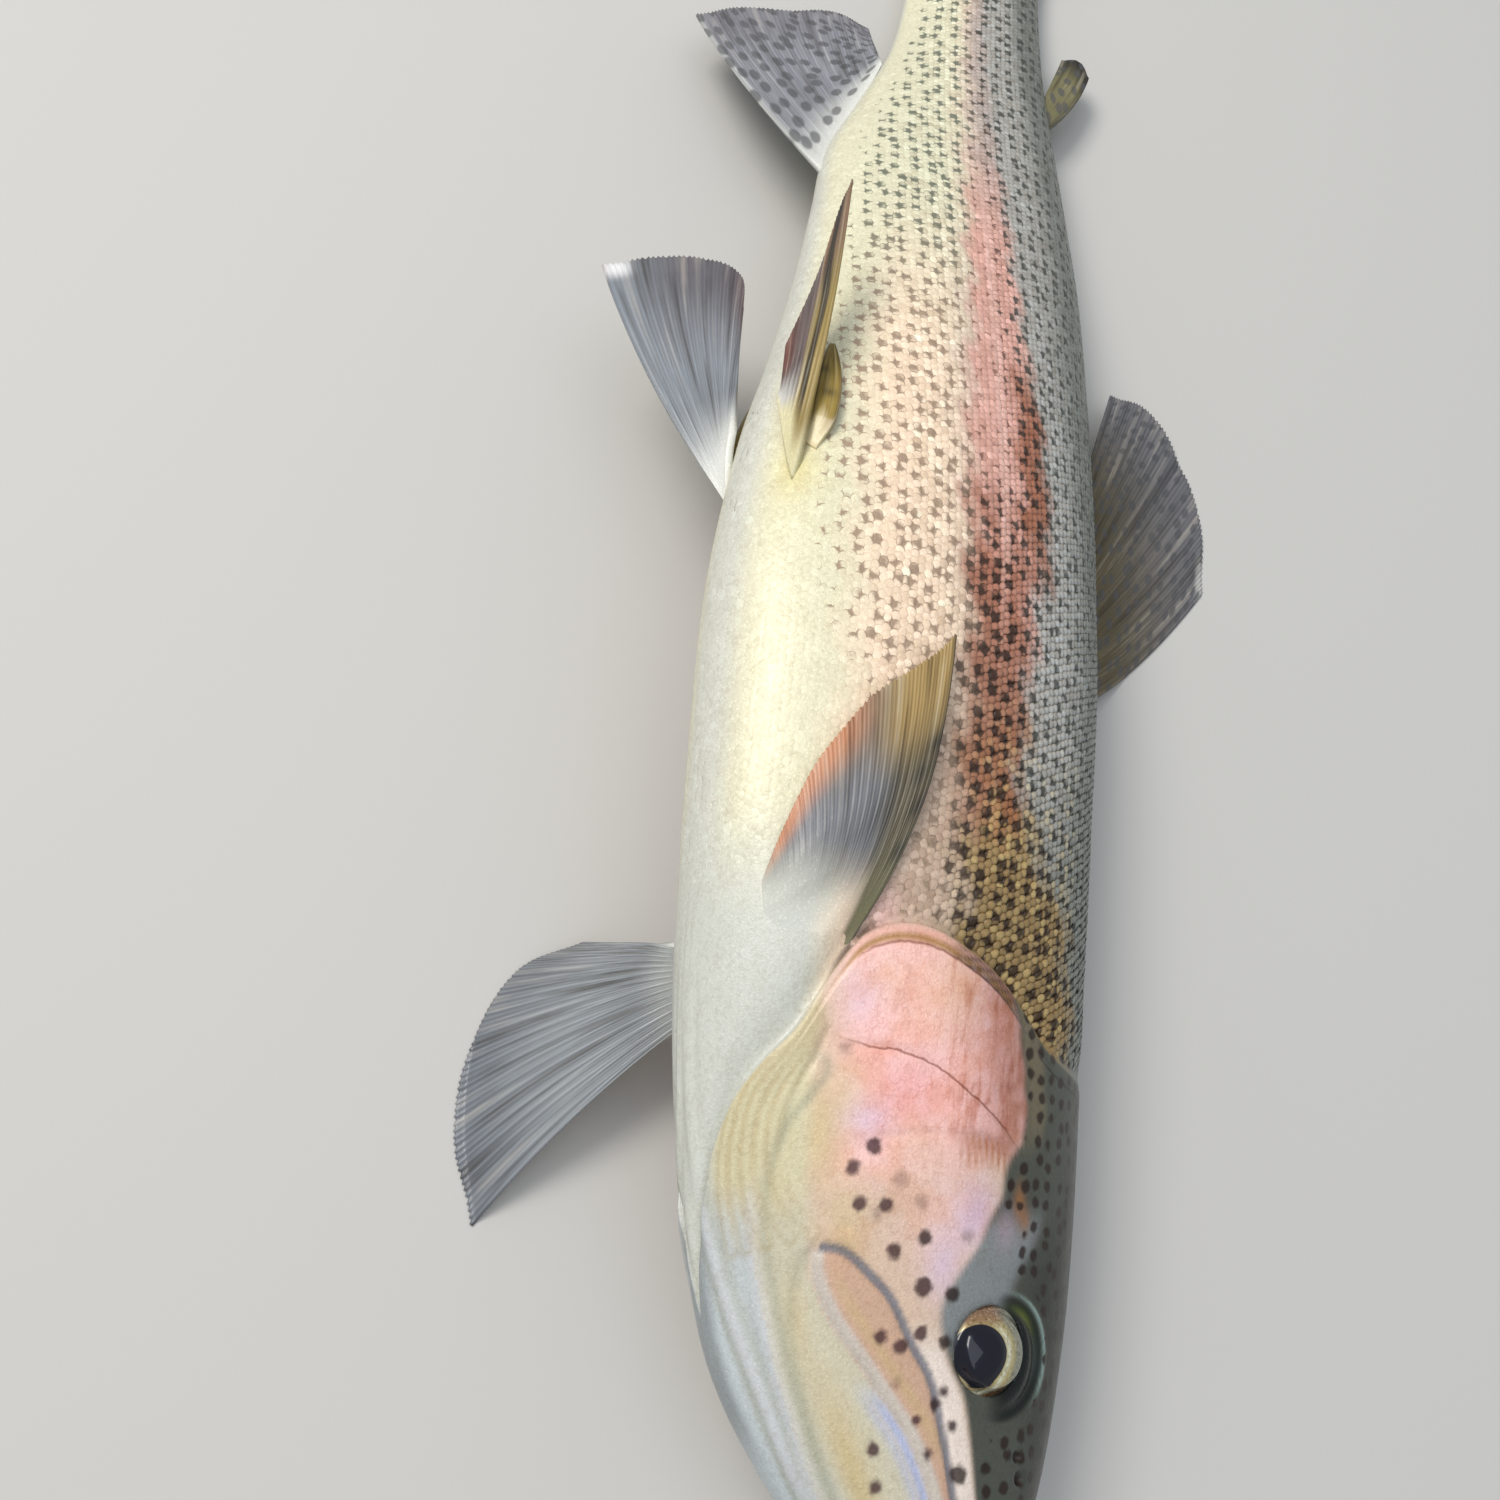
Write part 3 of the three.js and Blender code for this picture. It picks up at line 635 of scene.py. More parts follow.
def skin_fields(row, column):
    x, phi, d, _ = skin_place(row, column)
    fields = markings(x, phi, d)
    turn = degrees_round(phi)
    up = rise(x, phi)
    behind = x - rim_at(turn)
    # between the scales the hide is darkened with painted shade; under the gill cover's rim it is in shade
    gap_shade = smooth(1.0, 3.0, behind) * (0.2 + 0.45 * smooth(104, 88, turn)) * smooth(140, 124, turn)
    fields["paint"] = fields["paint"] * (1 - gap_shade)[:, None]
    fields["edge"] = np.full(len(x), 0.6)
    streak = smooth(82, 96, x) * smooth(126, 112, turn) * smooth(-0.5, -3, behind) * smooth(70, 78, turn)
    fields["streak"] = streak * (0.35 + 0.65 * smooth(108, 88, turn))
    wrinkle = smooth(62, 74, x) * smooth(132, 118, turn) * smooth(0, -2, behind)
    fields["wrinkle"] = wrinkle * smooth(72, 80, turn)
    fields["wet"] = smooth(ORBIT - 0.1, ORBIT - 1.1, np.hypot(x - ORBIT_AT[0], d - ORBIT_AT[1]))
    # two thin dark lines of painted shade, in the step in front of the gill cover's rim and in the
    # preopercle's groove, as the signed distance from each and where it shows
    fields["rim"] = np.clip(behind + 3.2, -6, 6)
    fields["rim_on"] = smooth(128, 116, turn)
    ahead = np.where(x < np.interp(up, preopercle_line[:, 1], preopercle_line[:, 0]), -1, 1)
    fields["cover"] = distance(x, up, preopercle_line) * ahead
    fields["cover_on"] = between(76, 122, 6, turn)
    return fields


def skin_bake(row, column):
    x, phi, _, last = skin_place(row, column)
    return np.stack([np.where(last, BODY_LENGTH, x) / BODY_LENGTH, phi / (2 * np.pi) + (column == ROUND)], -1)


skin = lattice("skin", SKIN_ROWS, ROUND, skin_points, skin_fields, skin_bake)


class Wire:
    """A shader socket that can be used in sums. make() adds any other node."""

    def __init__(self, tree, socket=None):
        self.tree = tree
        self.socket = socket

    def make(self, kind, settings=None, inputs=None, output=0):
        node = self.tree.nodes.new(kind)
        for name, value in (settings or {}).items():
            setattr(node, name, value)
        for name, value in (inputs or {}).items():
            if isinstance(value, Wire):
                self.tree.links.new(value.socket, node.inputs[name])
            else:
                node.inputs[name].default_value = value
        return Wire(self.tree, node.outputs[output]) if node.outputs else node

    def sum(self, operation, first, second):
        return self.make("ShaderNodeMath", {"operation": operation}, {0: first, 1: second})

    def __add__(self, other):
        return self.sum("ADD", self, other)

    def __sub__(self, other):
        return self.sum("SUBTRACT", self, other)

    def __rsub__(self, other):
        return self.sum("SUBTRACT", other, self)

    def __mul__(self, other):
        return self.sum("MULTIPLY", self, other)

    __radd__ = __add__
    __rmul__ = __mul__

    def ease(self, low, high):
        """0 to 1 as the value goes from low to high."""
        return self.make("ShaderNodeMapRange", {"interpolation_type": "SMOOTHSTEP"},
                         {0: self, 1: low, 2: high, 3: 0.0, 4: 1.0})

    def stretched(self, by):
        return self.make("ShaderNodeVectorMath", {"operation": "MULTIPLY"}, {0: self, 1: by})

    def kept(self, name, output="Fac"):
        """A value kept on the mesh's points."""
        return self.make("ShaderNodeAttribute", {"attribute_name": name}, output=output)

    def noise(self, vector, scale, detail):
        return self.make("ShaderNodeTexNoise", None,
                         {"Vector": vector, "Scale": scale, "Detail": detail}, "Fac")

    def cells(self, vector, scale, randomness, feature="F1"):
        return self.make("ShaderNodeTexVoronoi", {"voronoi_dimensions": "2D", "feature": feature},
                         {"Vector": vector, "Scale": scale, "Randomness": randomness}, "Distance")

    def mix(self, mode, share, first, second):
        return self.make("ShaderNodeMix", {"data_type": "RGBA", "blend_type": mode},
                         {0: share, 6: first, 7: second}, 2)

    def layered(self, *layers):
        """Thin layers over a colour, each as its blend, how strongly it lies, and its tint."""
        tone = self
        for mode, share, tint in layers:
            tint = tint if isinstance(tint, Wire) else (*tint, 1)
            tone = self.mix(mode, share, tone, tint)
        return tone

    def surface(self, inputs):
        shader = self.make("ShaderNodeBsdfPrincipled", None, inputs)
        self.make("ShaderNodeOutputMaterial", None, {"Surface": shader})


def finish(name):
    """A new, empty material, and the wire to build it with."""
    material = bpy.data.materials.new(name)
    material.use_nodes = True
    material.node_tree.nodes.clear()
    return material, Wire(material.node_tree)


# Distance between spots and between wrinkles in mm; the scale and tint of the hide's silvery grain.
SPOT_PITCH, WRINKLE_PITCH = 4.0, 1.2
GRAIN, SILVER = 2400.0, (1.7, 1.65, 1.6)


def spot_places(spots):
    x, d, radius = np.array(spots).T
    up = rise(x, np.arccos(d / reach_at(x, d)))
    return zip(x, up, radius)


def face_finish(wire, where, shake, ground, spotted):
    """What only the head has: rusty streaks and wrinkles on the cover, thin dark lines of painted shade in
    its step and groove, round spots.
    """
    streak, wrinkle = wire.kept("streak"), wire.kept("wrinkle")
    drawn = wire.noise(where.stretched((0.09, 0.5, 1.0)), 1.0, 6.0)
    drawn = drawn + 0.9 * (wire.noise(where, 0.14, 6.0) - 0.5)
    broad = wire.noise(where, 0.11, 4.0).ease(0.46, 0.6)
    creases = wire.cells(where, 1 / WRINKLE_PITCH, 1.0, "DISTANCE_TO_EDGE")
    creases = (creases + 0.6 * shake).ease(0.42, 0.2)
    ground = ground.layered(
        ("MULTIPLY", 0.75 * streak * drawn.ease(0.48, 0.72), (0.66, 0.42, 0.30)),
        ("SCREEN", 0.3 * streak * drawn.ease(0.46, 0.3), (0.35, 0.28, 0.36)),
        ("MULTIPLY", 0.5 * wrinkle * broad, (0.95, 0.80, 0.66)),
        ("MULTIPLY", 0.4 * wrinkle * creases, (0.74, 0.55, 0.50)),
    )
    # painted shade: thin dark lines in the step in front of the rim and in the preopercle's groove
    for line, wide in (("rim", 0.5), ("cover", 0.36)):
        wavy = wire.kept(line) + 0.7 * (shake - 0.5)
        off = wire.make("ShaderNodeMath", {"operation": "ABSOLUTE"}, {0: wavy})
        strength = 0.8 * wire.kept(line + "_on") * off.ease(wide, 0.05)
        ground = ground.layered(("MULTIPLY", strength, (0.34, 0.22, 0.17)))
    flat = where.stretched((1.0, 1.0, 0.0))
    for spots, strength, blur in ((CHEEK_SPOTS, 1.0, 0.6), (FAINT_SPOTS, 0.4, 0.9)):
        for at_x, at_up, radius in spot_places(spots):
            reach = wire.make("ShaderNodeVectorMath", {"operation": "DISTANCE"},
                              {0: flat, 1: (at_x, at_up, 0)}, "Value")
            disc = (reach + 1.6 * (shake - 0.5)).ease(0.9 * radius + blur, 0.9 * radius - blur)
            spotted = wire.sum("MAXIMUM", spotted, strength * disc)
    return ground, spotted


def wet_hide(name, bump, star, face):
    """Wet hide: ground colour, soft-edged spots, fine silvery grain and a clear slime coat.
    star draws the spots out along the edges of scales; face adds what only the head has."""
    material, wire = finish(name)
    where = wire.kept("where", "Vector")
    cells = wire.cells(where, 1 / SPOT_PITCH, 0.5)
    shake = wire.noise(where, 0.55, 3.0)
    spotting = wire.kept("spotting")
    size = spotting * (0.25 + 0.18 * wire.noise(where, 0.12, 1.0)) + star * (wire.kept("edge") - 0.6)
    spotted = (size - cells + 0.34 * (shake - 0.5)).ease(-0.09, 0.12) * spotting.ease(0.05, 0.4)
    ground = wire.kept("paint", "Color")
    if face:
        ground, spotted = face_finish(wire, where, shake, ground, spotted)
    mottle = wire.noise(where, 0.22, 5.0)
    fine = wire.noise(where, 1.3, 4.0)
    fleck = wire.noise(wire.make("ShaderNodeTexCoord", output="Object"), GRAIN, 2.0)
    ground = ground.layered(
        ("MIX", 0.9 * spotted, wire.kept("mark", "Color")),
        ("MULTIPLY", 0.3 * mottle, (0.66, 0.58, 0.50)),
        ("MULTIPLY", 0.35 * fine.ease(0.45, 0.7), (0.72, 0.66, 0.60)),
        ("MULTIPLY", (0.25 if face else 0.4) * fleck.ease(0.52, 0.75), SILVER),
    )
    height = fleck + 0.5 * mottle + 0.5 * fine
    normal = wire.make("ShaderNodeBump", None, {"Strength": bump, "Distance": 0.0003, "Height": height})
    rough = 0.34 + 0.25 * mottle
    if face:
        rough = rough * (1 - 0.65 * wire.kept("wet"))
    wire.surface({
        "Base Color": ground, "Roughness": rough, "Normal": normal, "Metallic": 0.05,
        "Specular IOR Level": 0.25, "Coat Weight": 0.3, "Coat Roughness": 0.14, "Coat IOR": 1.4,
    })
    return material


skin.data.materials.append(wet_hide("wet_skin", 0.35, 0.0, True))
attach(skin, "root")
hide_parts("head", "lower_jaw", "maxilla_right", "maxilla_left", "gill_cover_right", "gill_cover_left",
            "trunk_front", "trunk_middle", "tail_stalk")

# ---------------------------------------------------------------------------
# Scales: about twenty-three thousand thin round plates in slanting rows. Each is
# tucked in at its front edge and lies over the next one toward the tail; they
# are domed like beads on the shoulder and back, and nearly flat on the belly.
# ---------------------------------------------------------------------------
SCALE_PITCH, ROW_PITCH = 1.72, 1.66
SCALE_LENGTH, SCALE_WIDTH = 1.34, 1.165
# Rows up and down from the side line; how far scales stray along and round, and where the first begin.
SCALE_ROWS, STRAY_ALONG, STRAY_ROUND, BEHIND_RIM = 53, 0.11, 0.08, 1.3


def seat(x, up):
    """phi of the places at a distance round from the side line."""
    low, high = np.zeros_like(x), np.full_like(x, np.pi)
    for _ in range(24):
        middle = (low + high) / 2
        above = rise(x, middle) > up
        low, high = np.where(above, middle, low), np.where(above, high, middle)
    return (low + high) / 2


# Scales shrink toward the tail. Their places run along x at this changing pitch.
stations = np.linspace(96, BODY_LENGTH - 1, 1400)
shrink = 1 - 0.2 * smooth(250, 430, stations)
count = np.cumsum(1 / (SCALE_PITCH * shrink)) * (stations[1] - stations[0])
columns, rows = np.meshgrid(np.arange(int(count[-1])), np.arange(-SCALE_ROWS, SCALE_ROWS + 1))
at = np.interp((columns + 0.5 * (rows % 2)).ravel(), count, stations)
rows = rows.ravel()
size = np.interp(at, stations, shrink)
up = rows * ROW_PITCH * size
top, bottom = rise(at, np.zeros_like(at)), rise(at, np.full_like(at, np.pi))
margin = 0.45 * ROW_PITCH * size
inside = (up < top - margin) & (up > bottom + margin)
at, up, size = at[inside], up[inside], size[inside]
right = seat(at, up)
line = np.interp(np.arange(int(count[-1])), count, stations)
line_size = np.interp(line, stations, shrink)
at = np.concatenate([at, at, line, line])
size = np.concatenate([size, size, line_size, line_size])
round_at = np.concatenate([right, 2 * np.pi - right, np.zeros_like(line), np.full_like(line, np.pi)])
draw = np.random.default_rng(7)
at = at + draw.normal(0, STRAY_ALONG, at.shape)
round_at = round_at + draw.normal(0, STRAY_ROUND, at.shape) / girth(at, round_at)
size = size * draw.uniform(0.92, 1.06, at.shape)
tilt = draw.normal(0, 0.12, at.shape)
shade = draw.normal(1, 0.1, at.shape)
glint = 1.0 * (draw.random(at.shape) < 0.1)
turn = np.degrees(np.minimum(round_at % (2 * np.pi), -round_at % (2 * np.pi)))
# no scales under the rim, on the breast, on the pectoral fin's base or past the hide's end
covered = at > np.maximum(rim_at(turn) + BEHIND_RIM, 101 + 16 * smooth(120, 150, turn))
covered &= np.hypot((at - FIN_BASE[0]) / 8.5, (turn - FIN_BASE[1]) / 13) > 1
covered &= at < tail_end(round_at) - 0.6
plates = [v[covered] for v in (at, round_at, size, tilt, shade, glint, turn)]

# One scale: a round plate of two rings between two poles.
bead = bmesh.new()
bmesh.ops.create_uvsphere(bead, u_segments=10, v_segments=3, radius=1)
bmesh.ops.triangulate(bead, faces=bead.faces)
bead_points = np.array([v.co for v in bead.verts])
bead_faces = np.array([[v.index for v in face.verts] for face in bead.faces])
bead.free()
level = np.rint(bead_points[:, 2] * 2).astype(int)


def by_ring(crown, shoulder, rim, foot):
    """A value for each ring of a scale's points, from its crown down to its foot."""
    return np.select([level == 2, level == 1, level == -1], [crown, shoulder, rim], foot)


span = by_ring(0.0, 0.74, 1.0, 0.0)
length = np.maximum(np.hypot(bead_points[:, 0], bead_points[:, 1]), 1e-6)
bead_a = span * bead_points[:, 0] / length
bead_b = span * bead_points[:, 1] / length


def scales(name, chosen, crisp):
    """One sheet of scales; crisp ones are flat to the rim, the others round over it like beads."""
    x0, phi0, k, lean, tone, lit, round0 = (v[chosen][:, None] for v in plates)
    side = np.where(np.sin(phi0) < 0, -1.0, 1.0)
    wave = round0 + 1.6 * np.sin(x0 / 23 + 3 * (side < 0))
    pink = between(86, 104, 5, wave) * smooth(205, 225, x0)
    beaded = smooth(106, 93, wave) * (1 - 0.7 * smooth(225, 300, x0)) * (1 - 0.75 * pink)
    a = SCALE_LENGTH * k * (1 - 0.08 * beaded) * bead_a * np.where(bead_a > 0, 1.0, 1.1)
    b = SCALE_WIDTH * k * (1 + 0.04 * beaded) * bead_b * (1 - 0.12 * np.maximum(-bead_a, 0))
    a, b = a + lean * b, b - lean * a
    x = x0 + a
    phi = phi0 + b / girth(x0, phi0) * side
    flat = 0.12 + 0.3 * smooth(140, 112, round0) + 0.5 * beaded
    proud = (0.12 + 0.4 * a / (SCALE_LENGTH * k)) * flat
    dome = by_ring(0.34, 0.24, 0.0, -0.35) * flat * (1 + 0.5 * beaded)
    # the first scales lie sunk in the hide behind the gill
    seated = smooth(100, 112, x0 - 14 * smooth(130, 160, round0))
    lift = k * (proud + dome) * (0.35 + 0.65 * seated) - 0.25 * (1 - seated)
    points = hide(x, phi, trunk_depth(x, phi) - lift, 0.0)
    d = reach_at(x, np.cos(phi)) * np.cos(phi)
    fields = markings(x, phi % (2 * np.pi), d)
    # painted light and shade on each scale: a painted highlight on its crown, more on beaded ones, painted
    # shade toward its rim, and a painted glint on a few belly scales
    edge = by_ring(1.15, 1.0, 0.5, 0.5)
    depth = 0.05 + 0.32 * smooth(145, 108, round0) + 0.65 * beaded
    tone = 1 + (tone - 1) * (0.25 + 0.75 * smooth(138, 112, round0)) + 0.08 * lit * smooth(132, 150, round0)
    crest = 0.28 * beaded * (level == 2)
    bead_light_and_shade = np.power((tone * (1 + (edge - 1 + crest) * depth))[..., None], np.array([0.85, 1.0, 1.15]))
    gilt = 0.4 * beaded * smooth(1.0, 1.14, tone) * smooth(180, 150, x0) * between(56, 100, 8, wave)
    fields["paint"] = wash(fields["paint"], ("#b8a069", gilt)) * bead_light_and_shade
    fields["edge"] = np.broadcast_to(by_ring(0.0, 0.45, 1.0, 1.0), x.shape)
    mesh = bpy.data.meshes.new(name)
    total, corners = points.shape[0], len(bead_faces) * 3
    mesh.vertices.add(total * len(bead_points))
    mesh.vertices.foreach_set("co", points.astype(np.float32).ravel())
    order = (bead_faces.ravel()[None, :] + len(bead_points) * np.arange(total)[:, None]).ravel()
    mesh.loops.add(total * corners)
    mesh.loops.foreach_set("vertex_index", order.astype(np.int32))
    mesh.polygons.add(total * len(bead_faces))
    mesh.polygons.foreach_set("loop_start", np.arange(0, total * corners, 3, dtype=np.int32))
    mesh.update(calc_edges=True)
    keep(mesh, {field: value.reshape(-1, *value.shape[2:]) for field, value in fields.items()})
    uv = mesh.uv_layers.new(name="OFBake")
    # each scale has a small patch of its own in the baked map
    spread = 0.0015 * np.stack([bead_a, bead_b], -1)
    bake = np.stack([x0 / BODY_LENGTH, phi0 / (2 * np.pi)], -1) + spread
    uv.data.foreach_set("uv", bake.reshape(-1, 2)[order].astype(np.float32).ravel())
    if crisp:
        ends = np.empty(len(mesh.edges) * 2, np.int32)
        mesh.edges.foreach_get("vertices", ends)
        rim = (level[ends % len(bead_points)] == -1).reshape(-1, 2).all(1)
        mesh.attributes.new("sharp_edge", "BOOLEAN", "EDGE").data.foreach_set("value", rim)
    outward(mesh)
    piece = shown(name, mesh)
    mesh.materials.append(scale_finish)
    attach(piece, "root")


scale_finish = wet_hide("scale_finish", 0.25, 0.32, False)
# Sheets from the back down: degrees round where each starts and ends, and whether its scales are flat.
SHEETS = {
    "back": (0, 56, False), "side": (56, 92, False), "flank": (92, 126, True), "belly": (126, 181, True),
}
on_right, turn = plates[1] < np.pi, plates[6]
for sheet, (first, last, crisp) in SHEETS.items():
    belt = (turn >= first) & (turn < last)
    scales("scales_" + sheet + "_right", belt & on_right, crisp)
    scales("scales_" + sheet + "_left", belt & ~on_right, crisp)

# ---------------------------------------------------------------------------
# Eyes: glass domes set under the skin's edge. The pupil is a bulging lens with
# a point toward the snout, the iris a metallic ring, coppery toward the tail.
# ---------------------------------------------------------------------------
EYE_RADIUS, EYE_HALF_DEPTH = 10.0, 6.2
PUPIL_AT, PUPIL_RADIUS, PUPIL_BULGE = (-0.1, -2.0), 4.85, 0.35


def iris_paint(dx, dd, reach):
    ring = np.hypot(dx, dd)
    return wash(
        "#b3a56f",
        ("#878a7c", smooth(6.2, 8.0, reach)),
        ("#d3cdbb", 0.7 * smooth(1, 5, dd) * smooth(6.8, 5.4, reach)),
        ("#b9a98a", 0.5 * smooth(-1, -6, dd)),
        ("#86604a", 0.85 * smooth(3.2, 6.0, dx) * smooth(5, 1, dd)),
        ("#5c3a20", 0.9 * smooth(-5.2, -7.4, dx)),
        ("#dfe6cf", 0.8 * bell(reach - 5.55, 0.3) * smooth(-3, 2, dd - 0.6 * dx)),
        ("#1d2a25", smooth(8.1, 8.8, ring)),
    )


def eye_finish():
    material, wire = finish("eye_glass")
    dial = wire.kept("dial", "Vector")
    reach = wire.make("ShaderNodeSeparateXYZ", None, {"Vector": dial}, "Z")
    tone = wire.kept("iris", "Color").layered(
        ("MULTIPLY", 0.6 * wire.noise(dial, 1.3, 5.0).ease(0.46, 0.66), (0.34, 0.28, 0.20)),
        ("SCREEN", 0.6 * wire.noise(dial, 2.6, 3.0).ease(0.54, 0.66), (0.55, 0.42, 0.26)),
        ("MIX", reach.ease(PUPIL_RADIUS + 0.1, PUPIL_RADIUS - 0.1), colour("#0b0d1c")),
    )
    wire.surface({
        "Base Color": tone, "Roughness": 0.3, "Metallic": 0.3,
        "Specular IOR Level": 0.1, "Coat Weight": 0.8, "Coat Roughness": 0.02,
    })
    return material


glass = eye_finish()
for name, side in (("right", 1), ("left", -1)):
    shape = bmesh.new()
    bmesh.ops.create_uvsphere(shape, u_segments=96, v_segments=64, radius=1)
    eye = bpy.data.meshes.new("eyeball_" + name)
    shape.to_mesh(eye)
    shape.free()
    co = np.empty(len(eye.vertices) * 3, np.float32)
    eye.vertices.foreach_get("co", co)
    co = co.reshape(-1, 3).astype(float)
    dx, dd = EYE_RADIUS * co[:, 0], EYE_RADIUS * co[:, 1]
    px, pd = dx - PUPIL_AT[0], dd - PUPIL_AT[1]
    # the pupil draws out to a blunt point at its snout end
    point = np.where(px < 0, 1 - 0.12 * np.clip(-px / PUPIL_RADIUS, 0, 1.2) ** 3, 1.0)
    reach = np.hypot(px * point, pd * (1 + 0.03 * np.clip(-px / PUPIL_RADIUS, 0, 1)))
    bulge = PUPIL_BULGE * (smooth(PUPIL_RADIUS + 0.1, PUPIL_RADIUS - 1.2, reach) - 1)
    l = flank(*EYE_AT) - EYE_SUNK + co[:, 2] * EYE_HALF_DEPTH + bulge
    # the ball turns down under the edge of its hole
    x, d = EYE_AT[0] + dx, EYE_AT[1] + dd
    off = np.hypot(x - HOLE_AT[0], (d - HOLE_AT[1]) * HOLE_SQUASH) - EYE_HOLE
    l = l - smooth(-1.8, 0.0, off) * np.maximum(0, l - flank(x, d) + 1.1)
    points = ORIGIN + MM * place(x, d, side * l)
    eye.vertices.foreach_set("co", points.astype(np.float32).ravel())
    keep(eye, {"dial": np.stack([dx, dd, reach], -1), "iris": iris_paint(dx, dd, reach)})
    outward(eye)
    piece = shown("eyeball_" + name, eye)
    eye.materials.append(glass)
    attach(piece, "root")
    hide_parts("eye_" + name)

# ---------------------------------------------------------------------------
# Fins: thin webs on soft branching rays, thick at the root and frayed a little
# at the margin. Each stands where its solid does and runs into the skin.
# ---------------------------------------------------------------------------
FIN_SPOT_PITCH = 3.0
# Per fin: root and margin curves from the leading ray to the last as x, d, l;
# bow of the leading half; how far the root runs in; thickness at root and margin; rays.
FREE_FINS = {
    "dorsal_fin": (
        [(196, 50, 0), (223, 48.5, 0), (250, 45.5, 0)],
        [(243, 87, 0), (262, 84, 0), (279, 75, 0), (288, 62, 0), (288, 51, 0)],
        (-3, 2, 0), 0.07, (1.5, 0.35), 13),
    "adipose_fin": (
        [(361, 24.3, 0), (366, 23.2, 0), (372, 22.2, 0)],
        [(382, 34, 0), (387, 31, 0), (386, 26, 0)], (0, 1.5, 0), 0.15, (2.2, 1.1), 0),
    "caudal_fin": (
        [(436, 21, 0), (441, 0, 0), (436, -21, 0)],
        [(500, 52, 0), (499, 38, 0), (494, 19, 0), (489, 0, 0), (494, -19, 0), (499, -38, 0), (500, -52, 0)],
        (2, 0, 0), 0.08, (2.8, 0.45), 21),
    "anal_fin": (
        [(314, -37, 0), (340, -31.5, 0), (366, -23.8, 0)],
        [(368, -74, -3), (377, -63, -2), (380, -49, -1), (382, -37, 0), (380, -28, 0)],
        (-2, -3, 0), 0.08, (1.5, 0.35), 12),
    "pelvic_fin_right": (
        [(213, -45, 14), (219.5, -46.5, 11.5), (226, -47.6, 9)],
        [(273, -45, 30), (268, -45.5, 27), (257, -46.5, 21.5), (246, -47.5, 15.5), (238, -48.2, 11)],
        (0, -1, 1.5), 0.1, (1.7, 0.4), 8),
    "pelvic_fin_left": (
        [(213, -46.8, -11), (220, -48, -8.5), (227, -48.6, -6)],
        [(267, -79, -21), (274, -68, -16), (276, -58, -11), (272, -50, -8), (262, -48.5, -7)],
        (0, -2, -3), 0.07, (1.7, 0.35), 10),
    "pectoral_fin_left": (
        [(115, -28.5, -23.5), (120, -35.5, -20.5), (124, -41.5, -15.5)],
        [(75, -68, -53), (91, -69, -58), (108, -64, -61), (122, -54, -60), (128, -43, -51)],
        (0, -2, 2), 0.06, (1.8, 0.4), 14),
}
# The right pectoral lies on the flank: root and margin as x, d; height over it at both; bow,
# thickness at both, and rays.
FLANK_FIN = ([(117, -28), (121, -34.5), (124, -41)],
             [(181, -15.5), (172, -23.5), (164, -32), (153, -38.5), (141, -41.5), (131, -42.5)],
             (-1.3, 2.6), (0, 2.5), (1.9, 0.35), 14)


def along(points, share):
    knots = np.arange(len(points))
    return np.stack([through(knots, values, share * knots[-1]) for values in np.transpose(points)], -1)


def spanned(root, margin, s, c, bow=0):
    """Places from the root (s 0) to the margin (s 1); c runs from the leading ray (0) to the last (1)."""
    p = along(root, c) * (1 - s[..., None]) + along(margin, c) * s[..., None]
    return p + np.array(bow) * (4 * s * (1 - s) * (1 - c))[..., None]


def thinned(thick, s):
    """Half the thickness on the way to the margin."""
    return 0.5 * (thick[0] + (thick[1] - thick[0]) * smooth(0, 0.8, s))


def belly_turn(p):
    """How far round from the back the hide is at a place's height, as an angle."""
    return np.arccos(np.clip(p[..., 1] / section(2, p[..., 0]), -1, 1))


def free_sheet(root, margin, bow, inset, fold):
    def sheet(s, c):
        p = spanned(root, margin, -inset + (1 + inset) * s, c, bow)
        return place(p[..., 0], p[..., 1], p[..., 2] + fold(s, c))
    return sheet


def bare_depth(x, turn):
    """Depth of the hide under the flank fin's root, and on under the gill cover's rim."""
    behind = x - rim_at(turn)
    opening = OPENING_DEPTH * smooth(60, 70, turn) * smooth(11, 1.5, behind)
    return TRUNK_DEPTH + opening - breast_swell(x, turn, behind)


def flank_sheet(root, margin, lift, bow, thick):
    def sheet(s, c):
        p = spanned(root, margin, s, c, bow)
        raised = (lift[1] - lift[0]) * smooth(0, 0.6, s) * (1 - 0.7 * smooth(0.5, 1, c))
        height = lift[0] + raised - 0.9 * smooth(0.82, 1, c)
        # the root lies in the hide and leaves it at a slant; its leading end is under the gill cover's rim
        under = thinned(thick, s) + bare_depth(p[..., 0], np.degrees(belly_turn(p)))
        sunk = 0.5 * smooth(0, 0.2, s) - 0.35 - 0.8 * smooth(0.8, 1, c) - under
        height = sunk + (height - sunk) * smooth(0.04, 0.36, s)
        return place(p[..., 0], p[..., 1], flank(p[..., 0], p[..., 1]) + height)
    return sheet


def ray_relief(s, c, rays):
    """1 on a ray and 0 on the web between; each ray parts in two, then in four."""
    if not rays:
        return np.zeros_like(s)
    q = (c * rays) % 1 - 0.5
    first, second = 0.24 * smooth(0.22, 0.6, s), 0.115 * smooth(0.55, 0.9, s)
    wide = 0.13 - 0.06 * smooth(0.2, 0.9, s)
    height = np.zeros_like(s)
    for a in (-1, 1):
        for b in (-1, 1):
            height = np.maximum(height, np.exp(-(((q - a * first - b * second) / wide) ** 2)))
    return height


